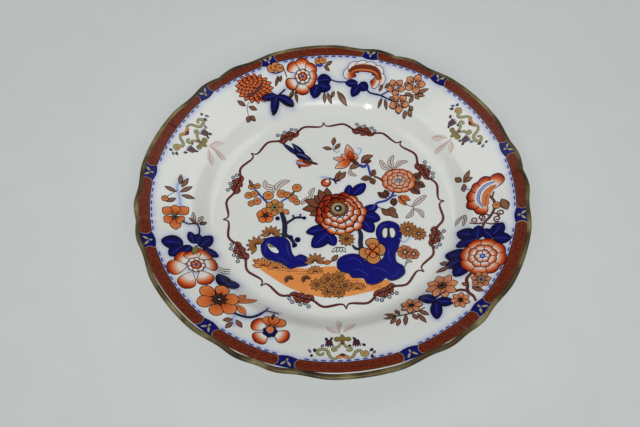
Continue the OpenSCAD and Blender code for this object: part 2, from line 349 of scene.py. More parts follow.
class Painter:
    """Lays strokes on the glaze, each a thin closed slab, and keeps one piece for each colour."""

    laid = []                # box and layer of every stroke on the plate, shared by all painters

    def __init__(self, name):
        self.name = name
        self.parts = {}
        self.turn = 0.0

    def layer_over(self, plan):
        """The lowest layer that clears every stroke already laid in the same place."""
        (left, low), (right, high) = plan.min(0).tolist(), plan.max(0).tolist()
        under = [layer for a, b, c, d, layer in self.laid
                 if a < right and c > left and b < high and d > low]
        layer = max(under, default=-1) + 1
        self.laid.append((left, low, right, high, layer))
        return layer

    def place(self, points):
        """Turns drawn points about the plate's centre, for a motif that is repeated round the rim."""
        c, s = math.cos(self.turn), math.sin(self.turn)
        points = np.asarray(points, float)
        return np.stack([c * points[..., 0] - s * points[..., 1],
                         s * points[..., 0] + c * points[..., 1]], -1)

    def slab(self, colour, points, faces, rim, tone=None):
        """Adds one slab. rim lists the points round its outline, in order."""
        plan = self.place(points)
        count = len(plan)
        normals = surface_normals(plan[:, 0], plan[:, 1])
        top = np.column_stack([plan, layer_height(plan[:, 0], plan[:, 1], self.layer_over(plan))])
        bottom = np.column_stack([plan, surface(plan[:, 0], plan[:, 1]) + SLAB_BOTTOM])
        store = self.parts.setdefault(colour, {"points": [], "faces": [], "tone": [], "normals": []})
        start = sum(len(p) for p in store["points"])
        store["points"] += [top, bottom]
        store["normals"] += [normals, normals]
        tone = np.full(count, 0.5) if tone is None else np.asarray(tone, float).ravel()
        store["tone"] += [tone, tone]
        a, b, c = plan[faces[0][0]], plan[faces[0][1]], plan[faces[0][2]]
        clockwise = (b[0] - a[0]) * (c[1] - a[1]) - (b[1] - a[1]) * (c[0] - a[0]) < 0
        for face in faces:
            up = face[::-1] if clockwise else face
            store["faces"].append([start + i for i in up])
            store["faces"].append([start + count + i for i in up[::-1]])
        ring = rim[::-1] if clockwise else rim
        for i, j in zip(ring, ring[1:] + ring[:1]):
            store["faces"].append([start + j, start + i, start + count + i, start + count + j])

    def sheet(self, colour, grid, tone=None):
        """A slab from a grid of points, rows by columns."""
        rows, columns = grid.shape[:2]
        faces = [[r * columns + c, r * columns + c + 1, (r + 1) * columns + c + 1, (r + 1) * columns + c]
                 for r in range(rows - 1) for c in range(columns - 1)]
        last = (rows - 1) * columns
        rim = (list(range(columns)) + [r * columns + columns - 1 for r in range(1, rows)]
               + [last + c for c in range(columns - 2, -1, -1)]
               + [r * columns for r in range(rows - 2, 0, -1)])
        self.slab(colour, grid.reshape(-1, 2), faces, rim, tone)

    def disc(self, colour, outline, centre=None, tones=(0.0, 1.0), rings=3):
        """A slab inside an outline, all of which can be seen from its centre."""
        outline = np.asarray(outline, float)
        centre = outline.mean(0) if centre is None else np.asarray(centre, float)
        count = len(outline)
        parts = [centre[None]]
        tone = [tones[0]]
        for k in range(1, rings + 1):
            parts.append(centre + (outline - centre) * k / rings)
            tone += [tones[0] + (tones[1] - tones[0]) * k / rings] * count
        faces = [[0, 1 + i, 1 + (i + 1) % count] for i in range(count)]
        for k in range(rings - 1):
            inner, outer = 1 + k * count, 1 + (k + 1) * count
            faces += [[inner + i, outer + i, outer + (i + 1) % count, inner + (i + 1) % count]
                      for i in range(count)]
        rim = [1 + (rings - 1) * count + i for i in range(count)]
        self.slab(colour, np.concatenate(parts), faces, rim, tone)

    def blob(self, colour, points, centre=None, tones=(0.3, 0.9)):
        self.disc(colour, smooth(points, closed=True), centre, tones)

    def fill(self, colour, points, tone=0.4):
        """A slab inside any smooth closed outline."""
        outline = smooth(points, closed=True)
        count = len(outline)
        low, high = outline.min(0), outline.max(0)
        across = [Vector((x, y)) for x in np.arange(low[0], high[0], 3.0)
                  for y in np.arange(low[1], high[1], 3.0)]
        edges = [(i, (i + 1) % count) for i in range(count)]
        found = geometry.delaunay_2d_cdt([Vector(p) for p in outline] + across, edges, [], 1, 1e-5)
        verts = np.array([list(v) for v in found[0]])
        used = sorted({i for face in found[2] for i in face})
        where = {old: new for new, old in enumerate(used)}
        faces = [[where[i] for i in face] for face in found[2]]
        source = {origin: new for new, origins in enumerate(found[3]) for origin in origins}
        rim = [where[source[i]] for i in range(count)]
        if signed_area(verts[used][rim]) < 0:
            rim = rim[::-1]
        if signed_area(verts[used][faces[0]]) < 0:
            faces = [face[::-1] for face in faces]
        self.slab(colour, verts[used], faces, rim, np.full(len(used), tone))

    def line(self, colour, points, width=0.5, taper=0.0, closed=False, bend=True):
        """A painted line. taper from 0 to 1 thins both ends, and a pair thins the first and last."""
        path = smooth(points, closed) if bend else np.asarray(points, float)
        if closed:
            path = np.concatenate([path, path[:1]])
        step = np.gradient(path, axis=0)
        if closed:
            step[0] = step[-1] = path[1] - path[-2]
        side = np.stack([-step[:, 1], step[:, 0]], -1)
        side /= np.maximum(np.linalg.norm(side, axis=1, keepdims=True), 1e-9)
        along = np.linspace(0, 1, len(path))
        first, final = taper if isinstance(taper, tuple) else (taper, taper)
        wide = width * (1 - first * (1 - blend(along * 3))) * (1 - final * (1 - blend((1 - along) * 3)))
        offset = side * wide[:, None] / 2
        if closed:
            self.band(colour, path[:-1] + offset[:-1], path[:-1] - offset[:-1])
        else:
            columns = 2 + int(width / 1.2)
            across = np.linspace(-1, 1, columns)[None, :, None]
            self.sheet(colour, path[:, None] + offset[:, None] * across)

    def band(self, colour, outer, inner):
        """A closed ring between two outlines with the same number of points."""
        plan = [self.place(outer), self.place(inner)]
        layer = self.layer_over(np.concatenate(plan))
        count = len(outer)
        store = self.parts.setdefault(colour, {"points": [], "faces": [], "tone": [], "normals": []})
        start = sum(len(p) for p in store["points"])
        for top in (True, False):
            for ring in plan:
                x, y = ring[:, 0], ring[:, 1]
                height = layer_height(x, y, layer) if top else surface(x, y) + SLAB_BOTTOM
                store["points"].append(np.column_stack([ring, height]))
                store["normals"].append(surface_normals(ring[:, 0], ring[:, 1]))
                store["tone"].append(np.full(count, 0.5))
        order = (0, 1, 3, 2)
        flip = signed_area(plan[0]) < 0
        for i in range(count):
            j = (i + 1) % count
            for a, b in zip(order, order[1:] + order[:1]):
                face = [start + a * count + j, start + a * count + i,
                        start + b * count + i, start + b * count + j]
                store["faces"].append(face if flip else face[::-1])

    def finish(self, *nodes):
        """Turns what was drawn into pieces, one for each colour."""
        for colour, store in self.parts.items():
            piece = make_object(f"{self.name}_{colour}", np.concatenate(store["points"]),
                                store["faces"], MATERIALS[colour],
                                np.concatenate(store["tone"]), np.concatenate(store["normals"]))
            if colour in BLEEDING:
                bleeding_points.append(np.concatenate(store["points"])[:, :2])
        if nodes:
            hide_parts(*nodes)


def signed_area(outline):
    x, y = np.asarray(outline)[:, 0], np.asarray(outline)[:, 1]
    return 0.5 * np.sum(x * np.roll(y, -1) - y * np.roll(x, -1))


BLEEDING = ("cobalt", "navy", "violet", "sky")
bleeding_points = []

# ---------------------------------------------------------------- strokes


def leaf_grid(start, end, width, bend=0.0, widest=1.0, roundness=1.0, rows=11, columns=7):
    """Points across a leaf or petal from start to end. roundness below 1 gives blunt ends."""
    start, end = np.asarray(start, float), np.asarray(end, float)
    along = end - start
    normal = np.array([-along[1], along[0]])
    t = np.linspace(0.015, 0.985, rows)
    middle = start + along * t[:, None] + normal * (bend * np.sin(np.pi * t))[:, None]
    half = width / 2 * np.sin(np.pi * t ** widest) ** roundness
    tangent = np.gradient(middle, axis=0)
    side = np.stack([-tangent[:, 1], tangent[:, 0]], -1)
    side /= np.linalg.norm(side, axis=1, keepdims=True)
    across = np.linspace(-1, 1, columns)
    return middle[:, None] + side[:, None] * (half[:, None] * across)[..., None]


def outline_of(grid):
    return np.concatenate([grid[:, 0], grid[::-1, -1]])


def leaf(painter, start, end, width, colour="leaf", bend=0.0, vein="ink", outline="ink",
         tones=(0.2, 0.9), line=0.35):
    """A pointed leaf with an outline and a mid-rib."""
    grid = leaf_grid(start, end, width, bend)
    across = np.abs(np.linspace(-1, 1, grid.shape[1]))
    tone = np.broadcast_to(tones[0] + (tones[1] - tones[0]) * across ** 2, grid.shape[:2])
    if colour:
        painter.sheet(colour, grid, tone)
    if outline:
        painter.line(outline, outline_of(grid), line, closed=True, bend=False)
    if vein:
        painter.line(vein, grid[1:-1, 3], line * 0.8, taper=(0, 0.6), bend=False)


def petal(painter, start, end, width, colour="red", bend=0.0, tones=(0.0, 1.0), outline="ink",
          widest=1.5, side=0.0, line=0.35, roundness=0.62):
    """A round petal. Its colour deepens towards the tip, and towards one side where side isn't 0."""
    grid = leaf_grid(start, end, width, bend, widest, roundness)
    t = np.linspace(0, 1, grid.shape[0])[:, None]
    across = np.linspace(-1, 1, grid.shape[1])[None]
    edge = 0.25 * across ** 2 + side * across
    tone = tones[0] + (tones[1] - tones[0]) * np.clip(t ** 1.3 + edge * (1 - 0.4 * t), 0, 1)
    painter.sheet(colour, grid, tone)
    if outline:
        painter.line(outline, outline_of(grid), line, closed=True, bend=False)


def ring_of_petals(painter, centre, inner, outer, count, width, turn=0.0, **looks):
    """Round petals all about a centre."""
    for k in range(count):
        angle = math.radians(turn + k * 360 / count)
        way = np.array([math.cos(angle), math.sin(angle)])
        petal(painter, centre + way * inner, centre + way * outer, width, **looks)


def dot(painter, colour, centre, radius, tones=(0.5, 0.5)):
    angles = np.arange(14) / 14 * 2 * np.pi
    outline = np.asarray(centre, float) + radius * np.stack([np.cos(angles), np.sin(angles)], -1)
    painter.disc(colour, outline, tones=tones, rings=2)


def star(painter, centre, radius, points, colour="orange", width=None, turn=0.0, arc=360.0, inner=0.12,
         **looks):
    """Pointed petals or spiky leaves about a centre."""
    centre = np.asarray(centre, float)
    gaps = points if arc == 360.0 else points - 1
    for k in range(points):
        angle = math.radians(turn + arc * k / gaps)
        way = np.array([math.cos(angle), math.sin(angle)])
        leaf(painter, centre + way * radius * inner, centre + way * radius, width or radius * 0.42,
             colour, **looks)


def blue_leaf(painter, start, end, width, bend=0.0, vein="violet", depth=0.42):
    """A cobalt leaf, dark at its edge, with a pale mid-rib and an olive outline."""
    grid = leaf_grid(start, end, width, bend, widest=0.9, roundness=0.6, rows=15, columns=9)
    t = np.linspace(-1, 1, grid.shape[0])[:, None]
    across = np.linspace(-1, 1, grid.shape[1])[None]
    tone = np.clip(depth + 0.55 * np.maximum(np.abs(across) ** 3, np.abs(t) ** 6), 0, 1)
    painter.sheet("cobalt", grid, tone)
    painter.line("olive", outline_of(grid), 0.22, closed=True, bend=False)
    painter.line(vein, grid[1:-2, 4], 0.35, taper=(0, 0.7), bend=False)


# ---------------------------------------------------------------- border and medallion line

BORDER_INNER = 120.6
BORDER_OUTER = 128.0
BORDER_ANGLE = 3.6
CARTOUCHE_OFFSET = 12.5
CARTOUCHE_HALF = 3.3
GILT_TOP = 3.0          # how far in from the lip the gilding reaches on the face
GILT_UNDER = 2.6


def border_points(angle, radius):
    """Plan points of the printed border, kept clear of the gilding."""
    angle = np.radians(angle)
    x = BORDER_SHIFT[0] + radius * np.cos(angle)
    y = BORDER_SHIFT[1] + radius * np.sin(angle)
    reach = np.hypot(x, y)
    limit = edge_radius(np.degrees(np.arctan2(y, x))) - GILT_TOP + 0.15
    shrink = np.minimum(1.0, limit / reach)
    return np.stack([x * shrink, y * shrink], -1)


def border_grid(first, last, bulge, inner=BORDER_INNER, outer=BORDER_OUTER, dip=0.0, columns=8):
    """A patch of the border whose two ends bow outwards, or inwards if bulge is negative."""
    v = np.linspace(-1, 1, columns)
    rows = max(5, int((last - first) / 0.35))
    u = np.linspace(-1, 1, rows)[:, None]
    half = (last - first) / 2 + bulge * (1 - v ** 2)
    low = inner - dip * np.cos(u * np.pi / 2)
    return border_points((first + last) / 2 + u * half, low + (outer - low) * (v + 1) / 2)


def paint_border():
    p = Painter("border")
    for k in range(6):
        middle = BORDER_ANGLE + 60 * k
        bays = ((middle - CARTOUCHE_OFFSET, middle + CARTOUCHE_OFFSET),
                (middle + CARTOUCHE_OFFSET, middle + 60 - CARTOUCHE_OFFSET))
        for first, last in bays:
            grid = border_grid(first + CARTOUCHE_HALF - 0.2, last - CARTOUCHE_HALF + 0.2, 0.9)
            across = np.abs(np.linspace(-1, 1, grid.shape[1]))
            p.sheet("panel", grid, np.broadcast_to(0.4 + 0.6 * across ** 8, grid.shape[:2]))
            for side in (0, -1):
                p.line("cream", grid[side], 0.55, bend=False)
            p.line("navy", grid[:, 0], 0.6, bend=False)
            p.line("maroon", grid[:, -1], 0.4, bend=False)
        for centre in (middle - CARTOUCHE_OFFSET, middle + CARTOUCHE_OFFSET):
            paint_cartouche(p, centre)
        for angle in np.arange(middle + 1.1, middle + 60, 2.4):
            away = abs((angle - BORDER_ANGLE + 30) % 60 - 30)
            if abs(away - CARTOUCHE_OFFSET) > CARTOUCHE_HALF + 0.6:
                steps = angle + np.linspace(-0.75, 0.75, 4)
                p.line("violet", border_points(steps, np.full(4, BORDER_INNER - 1.1)), 1.0, 0.4)
    p.finish("red_panels", "cobalt_cartouches", "gilt_brackets")


def paint_cartouche(p, centre):
    """A waisted cobalt field with three small leaves in gold."""
    grid = border_grid(centre - CARTOUCHE_HALF + 0.25, centre + CARTOUCHE_HALF - 0.25, -0.85,
                       outer=BORDER_OUTER, dip=1.4)
    across = np.abs(np.linspace(-1, 1, grid.shape[1]))
    p.sheet("cobalt", grid, np.broadcast_to(0.45 + 0.4 * across ** 4, grid.shape[:2]))

    def spot(angle, radius):
        return border_points(np.array(centre + angle), np.array(radius))
    for side in (-1, 1):
        leaf(p, spot(side * 0.2, 123.4), spot(side * 1.5, 126.8), 1.5, "pale_gold",
             vein=None, outline=None)
    leaf(p, spot(0, 121.0), spot(0, 123.4), 1.4, "pale_gold", vein=None, outline=None)


def bay_middle(k):
    """Direction of the middle of bay k, in degrees."""
    return BAY_TURN + (k + 0.5) * BAY_SPACING


def paint_medallion_line():
    """Eight bays with a barb at each join. The spray of leaves and berries on each bay is painted by
    paint_bay_sprays.
    """
    profile = ((0, BAY_RADIUS), (5, BAY_RADIUS), (7, 70.8), (9, 72.4), (11, 73.3), (13, 73.2), (16, 72.2),
               (19, 71.4), (21.4, 71.8), (22.5, 75))
    p = Painter("medallion_line")
    for k in range(BAY_COUNT):
        middle = bay_middle(k)
        for side in (-1, 1):
            angles = np.radians([middle + side * a for a, r in profile])
            radii = np.array([r for a, r in profile])
            path = np.stack([PRINT_SHIFT[0] + radii * np.cos(angles), radii * np.sin(angles)], -1)
            p.line("maroon", path, 1.7, (0, 0.5))
    p.finish("medallion_line")


# ---------------------------------------------------------------- body and lip

def lip_profile(angle, swell, turns):
    """Points of the rounded lip at these angles, swell outside the glaze, from face to underside."""
    edge = edge_radius(angle)
    turns = np.radians(turns)[:, None]
    start = edge - LIP_ROUND + LIP_ROUND * math.cos(math.radians(90 + LIP_TILT))
    x, y = start * np.cos(np.radians(angle)), start * np.sin(np.radians(angle))
    middle_z = surface(x, y) - LIP_ROUND * math.sin(math.radians(90 + LIP_TILT))
    radius = edge - LIP_ROUND + (LIP_ROUND + swell) * np.cos(turns)
    height = middle_z + (LIP_ROUND + swell) * np.sin(turns)
    c, s = np.cos(np.radians(angle)), np.sin(np.radians(angle))
    return np.stack([radius * c, radius * s, height], -1)


LIP_TURNS = np.linspace(90 + LIP_TILT, LIP_TILT - 90, 9)


def lip_angles(spread=100):
    """Angles round the plate, closer together at the creases."""
    step = np.linspace(-1, 1, spread + 1)[:-1]
    turn = 30 * np.sign(step) * np.abs(step) ** 1.25
    return np.concatenate([CREASE_ANGLE + 60 * k + turn for k in range(6)])


def wrap(rings, closed_round=True):
    """Faces joining rings of points, each ring closed, from the first ring to the last."""
    count = len(rings[0])
    faces = []
    for k in range(len(rings) - (0 if closed_round else 1)):
        a, b = k * count, (k + 1) % len(rings) * count
        faces += [[a + (i + 1) % count, a + i, b + i, b + (i + 1) % count] for i in range(count)]
    return faces


def face_ring(angle, radius):
    """A ring of the top face. Outside the well it follows the lobes more and more."""
    start = RIM_RADIUS - LIP_ROUND * (1 + math.sin(math.radians(LIP_TILT)))
    radius = radius + blend((radius - 106) / (start - 106)) * (edge_radius(angle) - RIM_RADIUS)
    x, y = radius * np.cos(np.radians(angle)), radius * np.sin(np.radians(angle))
    return np.stack([x, y, surface(x, y)], -1)


def under_ring(angle, radius):
    """A ring of the underside between the lip and the foot."""
    ring = face_ring(angle, radius)
    r = np.hypot(ring[:, 0], ring[:, 1])
    hollow = FOOT_HEIGHT + blend((r - FOOT_RADIUS) / (SHOULDER_RADIUS + 2 - FOOT_RADIUS)) * (
        rim_line(r) - RIM_THICKNESS - FOOT_HEIGHT)
    ring[:, 2] = np.where(r > SHOULDER_RADIUS + 2, ring[:, 2] - RIM_THICKNESS, hollow)
    return ring


def build_body():
    """The glazed earthenware body, turned as one closed skin, with a bare foot ring."""
    angle = lip_angles()
    count = len(angle)
    c, s = np.cos(np.radians(angle)), np.sin(np.radians(angle))
    start = RIM_RADIUS - LIP_ROUND * (1 + math.sin(math.radians(LIP_TILT)))
    face = np.concatenate([np.arange(1.4, 106, 1.4), np.linspace(107, start, 17)[:-1]])
    rings = [face_ring(angle, r) for r in face]
    rings += list(lip_profile(angle, 0.0, LIP_TURNS))
    rings += [under_ring(angle, r) for r in np.linspace(127, FOOT_RADIUS, 22)]
    foot = ((FOOT_RADIUS, FOOT_EDGE * 2), (FOOT_RADIUS - FOOT_EDGE, FOOT_EDGE / 2),
            (FOOT_RADIUS - FOOT_EDGE * 2, 0), (FOOT_RADIUS - FOOT_EDGE * 2 - FOOT_WIDTH, 0),
            (FOOT_RADIUS - FOOT_EDGE * 3 - FOOT_WIDTH, FOOT_EDGE / 2),
            (FOOT_RADIUS - FOOT_EDGE * 4 - FOOT_WIDTH, FOOT_EDGE * 2),
            (FOOT_RADIUS - FOOT_EDGE * 4.4 - FOOT_WIDTH, FOOT_HEIGHT * 0.9),
            (FOOT_RADIUS - FOOT_EDGE * 6 - FOOT_WIDTH, FOOT_HEIGHT), (50, FOOT_HEIGHT), (25, FOOT_HEIGHT))
    bare = len(rings) + 2
    rings += [np.stack([r * c, r * s, np.full(count, float(z))], -1) for r, z in foot]
    points = np.concatenate(rings + [[[0, 0, FLOOR_HEIGHT], [0, 0, FOOT_HEIGHT]]])
    top, bottom = len(points) - 2, len(points) - 1
    last = (len(rings) - 1) * count
    faces = [[top, i, (i + 1) % count] for i in range(count)]
    bare_from = len(faces) + bare * count
    faces += wrap(rings, closed_round=False)
    faces += [[bottom, last + (i + 1) % count, last + i] for i in range(count)]
    body = make_object("plate_glazed_body", points, faces, MATERIALS["glaze"],
                       cobalt_bleed(points, (len(face) + len(LIP_TURNS)) * count))
    body.data.materials.append(foot_material())
    for polygon in body.data.polygons[bare_from:bare_from + count]:
        polygon.material_index = 1
    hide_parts("plate_body")


def cobalt_bleed(points, top_count):
    """How much cobalt has run into the glaze at each point of the top face."""
    tree = kdtree.KDTree(sum(len(p) for p in bleeding_points))
    for index, point in enumerate(np.concatenate(bleeding_points)):
        tree.insert((point[0], point[1], 0), index)
    tree.balance()
    bleed = np.zeros(len(points))
    for index in range(top_count):
        distance = tree.find((points[index][0], points[index][1], 0))[2]
        strength = 0.15 if np.hypot(*points[index][:2]) < FLOOR_RADIUS else 0.5
        bleed[index] = strength * math.exp(-(distance / BLEED_REACH) ** 1.5)
    return bleed


def build_gilt_edge():
    """Gold laid over the lip as a thin closed band."""
    angle = lip_angles()
    wall = []
    for proud in (0.13, -0.05):
        inner = [face_ring(angle, RIM_RADIUS - GILT_TOP), face_ring(angle, RIM_RADIUS - GILT_TOP + 0.5)]
        for ring in inner:
            ring[:, 2] += proud
        lip = list(lip_profile(angle, proud, LIP_TURNS))
        outer = [under_ring(angle, RIM_RADIUS - GILT_UNDER)]
        outer[0][:, 2] -= proud
        wall.append(inner + lip + outer)
    rings = wall[0] + wall[1][::-1]
    edge = make_object("gilt_lip", np.concatenate(rings), wrap(rings), MATERIALS["gilding"])
    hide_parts("gilt_edge")


def foot_material():
    """Bare fired clay where the plate stands."""
    material, nodes, links, shader = new_material("bare_foot")
    grit = add_noise(nodes, links, 1800.0, 6.0)
    ramp = add_ramp(nodes, links, grit.outputs["Fac"],
                    ((0.3, srgb(186, 174, 150)), (0.7, srgb(214, 204, 184))))
    links.new(ramp.outputs["Color"], shader.inputs["Base Color"])
    shader.inputs["Roughness"].default_value = 0.75
    add_bump(nodes, links, grit.outputs["Fac"], shader, 0.4, 0.0002)
    return material


# ---------------------------------------------------------------- studio

POOL_REACH = 0.3         # of the brighter pool of light round the plate, in metres


def build_floor():
    """Pale paper that glows: painted light, brightest in a pool round the plate, which also lightens the
    plate's shadow on it.
    """
    mesh = bpy.data.meshes.new("studio_floor")
    half = 3.0
    mesh.from_pydata([(-half, -half, 0), (half, -half, 0), (half, half, 0), (-half, half, 0)], [],
                     [(0, 1, 2, 3)])
    material, nodes, links, shader = new_material("pale_paper")
    fibre = add_noise(nodes, links, 30.0, 5.0)
    ramp = add_ramp(nodes, links, fibre.outputs["Fac"],
                    ((0.3, srgb(140, 143, 142)), (0.7, srgb(144, 147, 146))))
    links.new(ramp.outputs["Color"], shader.inputs["Base Color"])
    shader.inputs["Roughness"].default_value = 0.8
    place = nodes.new("ShaderNodeTexCoord")
    pool = nodes.new("ShaderNodeMapping")
    pool.inputs["Scale"].default_value = (1 / POOL_REACH,) * 3
    links.new(place.outputs["Object"], pool.inputs["Vector"])
    glow = nodes.new("ShaderNodeTexGradient")
    glow.gradient_type = "QUADRATIC_SPHERE"
    links.new(pool.outputs["Vector"], glow.inputs["Vector"])
    shade = add_ramp(nodes, links, glow.outputs["Fac"],
                     ((0.0, srgb(191, 195, 194)), (0.6, srgb(222, 225, 223))))
    # the emission is painted light: a pool round the plate that also lightens the shadows on the paper
    links.new(shade.outputs["Color"], shader.inputs["Emission Color"])
    shader.inputs["Emission Strength"].default_value = 0.48
    mesh.materials.append(material)
    floor = bpy.data.objects.new("studio_floor", mesh)
    bpy.context.scene.collection.objects.link(floor)


def aim(thing, place, target):
    """Stands a lamp at place, pointing at target. Both are in metres."""
    back = (Vector(place) - Vector(target)).normalized()
    thing.matrix_world = Matrix.Translation(place) @ back.to_track_quat("Z", "Y").to_matrix().to_4x4()


def add_lamp(name, place, size, watts, colour=(1, 1, 1)):
    lamp = bpy.data.lights.new(name, "AREA")
    lamp.shape = "RECTANGLE"
    lamp.size, lamp.size_y = size
    lamp.energy = watts
    lamp.color = colour
    holder = bpy.data.objects.new(name, lamp)
    bpy.context.scene.collection.objects.link(holder)
    aim(holder, place, (0, 0, 0.02))


def add_camera():
    """Stands where the photographer did, a little left of the plate and well above it."""
    camera = bpy.data.cameras.new("studio_camera")
    camera.sensor_width = 36.0
    camera.lens = 55.63
    holder = bpy.data.objects.new("studio_camera", camera)
    bpy.context.scene.collection.objects.link(holder)
    elevation, roll, distance = 1.00197, -0.01383, 0.67317
    target = Vector((-0.008424, 0.001335, 0))
    back = Vector((0, -math.cos(elevation), math.sin(elevation)))
    right = Vector((1, 0, 0))
    up = back.cross(right)
    turned_right = right * math.cos(roll) + up * math.sin(roll)
    turned_up = up * math.cos(roll) - right * math.sin(roll)
    turned = Matrix((turned_right, turned_up, back)).transposed().to_4x4()
    holder.matrix_world = Matrix.Translation(target + back * distance) @ turned
    bpy.context.scene.camera = holder


def add_lights():
    world = bpy.data.worlds.new("studio_room")
    world.use_nodes = True
    background = world.node_tree.nodes["Background"]
    background.inputs["Color"].default_value = (0.93, 0.97, 1.0, 1.0)
    background.inputs["Strength"].default_value = 0.26
    bpy.context.scene.world = world
    add_lamp("left_softbox", (-0.80, 0.50, 1.34), (1.1, 1.0), 5.0)
    add_lamp("right_softbox", (0.80, 0.50, 1.34), (1.1, 1.0), 5.0)
    add_lamp("front_softbox", (0.0, -1.7, 1.55), (1.8, 0.8), 28.5)
    add_lamp("bare_bulb", (-0.377, -0.621, 0.894), (0.034, 0.028), 0.35)


# ---------------------------------------------------------------- flowers and leaves in common

def flower(p, centre, tips, width, colour="red", base=0.3, **looks):
    """Petals from near a centre out to the given tips, all of one width."""
    centre = np.asarray(centre, float)
    for tip in tips:
        way = np.asarray(tip, float) - centre
        petal(p, centre + way * base, centre + way, width, colour, **looks)


def leaves(p, spans, width, colour="leaf", **looks):
    for start, end in spans:
        leaf(p, start, end, width, colour, **looks)


def buds(p, spots, colour="ochre"):
    """Round buds, each given as x, y and radius, with a darker eye."""
    for x, y, radius in spots:
        dot(p, colour, (x, y), radius, (0.35, 0.8))
        angles = np.arange(16) / 16 * 2 * np.pi
        ring = np.array([x, y]) + radius * np.stack([np.cos(angles), np.sin(angles)], -1)
        p.line("ink", ring, 0.5, closed=True, bend=False)
        dot(p, "orange", (x, y), radius * 0.55, (0.2, 0.6))
        p.line("ink", [(x - radius * 0.5, y), (x, y + radius * 0.3), (x + radius * 0.5, y)], 0.4)


def open_leaf(p, path, width, line="ink"):
    """A long curling leaf drawn in outline over a faint wash, with a rib."""
    path = smooth(path, step=1.2)
    step = np.gradient(path, axis=0)
    side = np.stack([-step[:, 1], step[:, 0]], -1)
    side /= np.linalg.norm(side, axis=1, keepdims=True)
    half = width / 2 * np.sin(np.pi * np.linspace(0.03, 0.97, len(path)))[:, None]
    half[2::4] *= 0.8        # shallow notches, so that the outline curls
    edges = np.concatenate([path + side * half, (path - side * half)[::-1]])
    p.sheet("bisque", np.stack([path + side * half, path, path - side * half], 1))
    p.line(line, edges, 0.42, closed=True, bend=False)
    p.line(line, path[1:-1], 0.6, 0.7, bend=False)


def peony(p, centre, tips, width, heart, turn=0.0):
    """White petals that redden to the tip, round a lobed blue ring and a mottled heart."""
    flower(p, centre, tips, width, base=0.3, tones=(-0.45, 0.95), outline="maroon", line=0.4)
    angles = np.radians(turn + np.arange(40) * 9)
    reach = heart * (1 + 0.05 * np.cos(8 * angles))
    ring = np.asarray(centre, float) + reach[:, None] * np.stack([np.cos(angles), np.sin(angles)], -1)
    p.disc("sky", ring, tones=(0.5, 0.5))
    ring_of_petals(p, centre, heart * 0.35, heart * 1.05, 8, heart * 0.72, turn, tones=(-0.6, 0.4),
                   outline="violet", line=0.55)
    ring_of_petals(p, centre, heart * 0.1, heart * 0.62, 5, heart * 0.6, turn + 20, tones=(0.1, 0.9),
                   outline="violet", line=0.5)
    dot(p, "violet", centre, heart * 0.2)


def berries(p, spots, colour="grey", radius=1.15):
    """Small round fruit, tinted inside."""
    for x, y in spots:
        angles = np.arange(12) / 12 * 2 * np.pi
        ring = np.array([x, y]) + radius * np.stack([np.cos(angles), np.sin(angles)], -1)
        dot(p, "mist", (x, y), radius)
        p.line(colour, ring, 0.5, closed=True, bend=False)


# ---------------------------------------------------------------- medallion garden

def paint_bay_sprays():
    """A garland of small leaves in the middle of each bay, with berries along its outer side."""
    p = Painter("bay_sprays")
    for k in range(BAY_COUNT):
        def at(turn, out):
            angle = math.radians(bay_middle(k) + turn)
            radius = BAY_RADIUS + out
            return (PRINT_SHIFT[0] + radius * math.cos(angle), radius * math.sin(angle))
        berries(p, [at(turn, 3.2 + 1.6 * (step % 2))
                    for step, turn in enumerate(np.arange(-6.5, 6, 2.1))])
        for step in range(9):
            turn = -7.5 + step * 1.7
            side = 1 if step % 2 else -1
            reach = 4.4 if step < 5 else -3.6
            tip = at(turn + reach, side * (2.6 + step % 3 * 0.7))
            leaf(p, at(turn, 0), tip, 2.5, "rust", line=0.3)
    p.finish("medallion_leaves")


def paint_bird(p):
    """A small bird that dives towards the lily, dark above and rusty below."""
    p.blob("orange", [(-24, 42), (-20, 42.5), (-15, 40.5), (-13, 38.6), (-16.5, 36.2), (-21.5, 36.2),
                      (-24.5, 38.6)], tones=(0.5, 0.1))
    p.blob("rust", [(-20, 42.5), (-16, 41.5), (-13.6, 39), (-16.5, 38.2), (-19.5, 39.4)], tones=(0.4, 0.9))
    p.line("sky", [(-25, 40.8), (-21.5, 39.2), (-18, 38.4)], 1.3, 0.5)
    p.line("ink", [(-24, 38.4), (-20.5, 37.4), (-17, 37)], 0.5, 0.5)
    leaf(p, (-22, 45), (-34.5, 57), 3.2, "navy", vein="violet", outline="ink")
    leaf(p, (-19, 44.5), (-32, 53), 3.2, "cobalt", vein="violet", outline="navy", tones=(0.6, 1.0))
    leaf(p, (-17, 43), (-27.5, 56.5), 4.4, "cobalt", vein="sky", outline="ink", tones=(0.6, 1.0))
    p.blob("cobalt", [(-26, 48.5), (-22, 49), (-17, 46), (-14, 42.5), (-18, 42), (-23, 43.5)],
           tones=(0.5, 1.0))
    p.line("grey", [(-24, 47), (-20, 46), (-16.5, 43.4)], 0.9, 0.5)
    p.blob("ink", [(-16, 43.2), (-13.5, 41.8), (-12.8, 39.6), (-15, 39.5), (-17.6, 41.5)], tones=(0.5, 0.5))
    leaf(p, (-14.6, 39.8), (-9, 38), 2.0, "ink", vein=None, outline=None)
    dot(p, "cream", (-14.4, 41.2), 0.4)
    leaf(p, (-23, 37.5), (-21.5, 34.8), 1.4, "ink", vein=None)


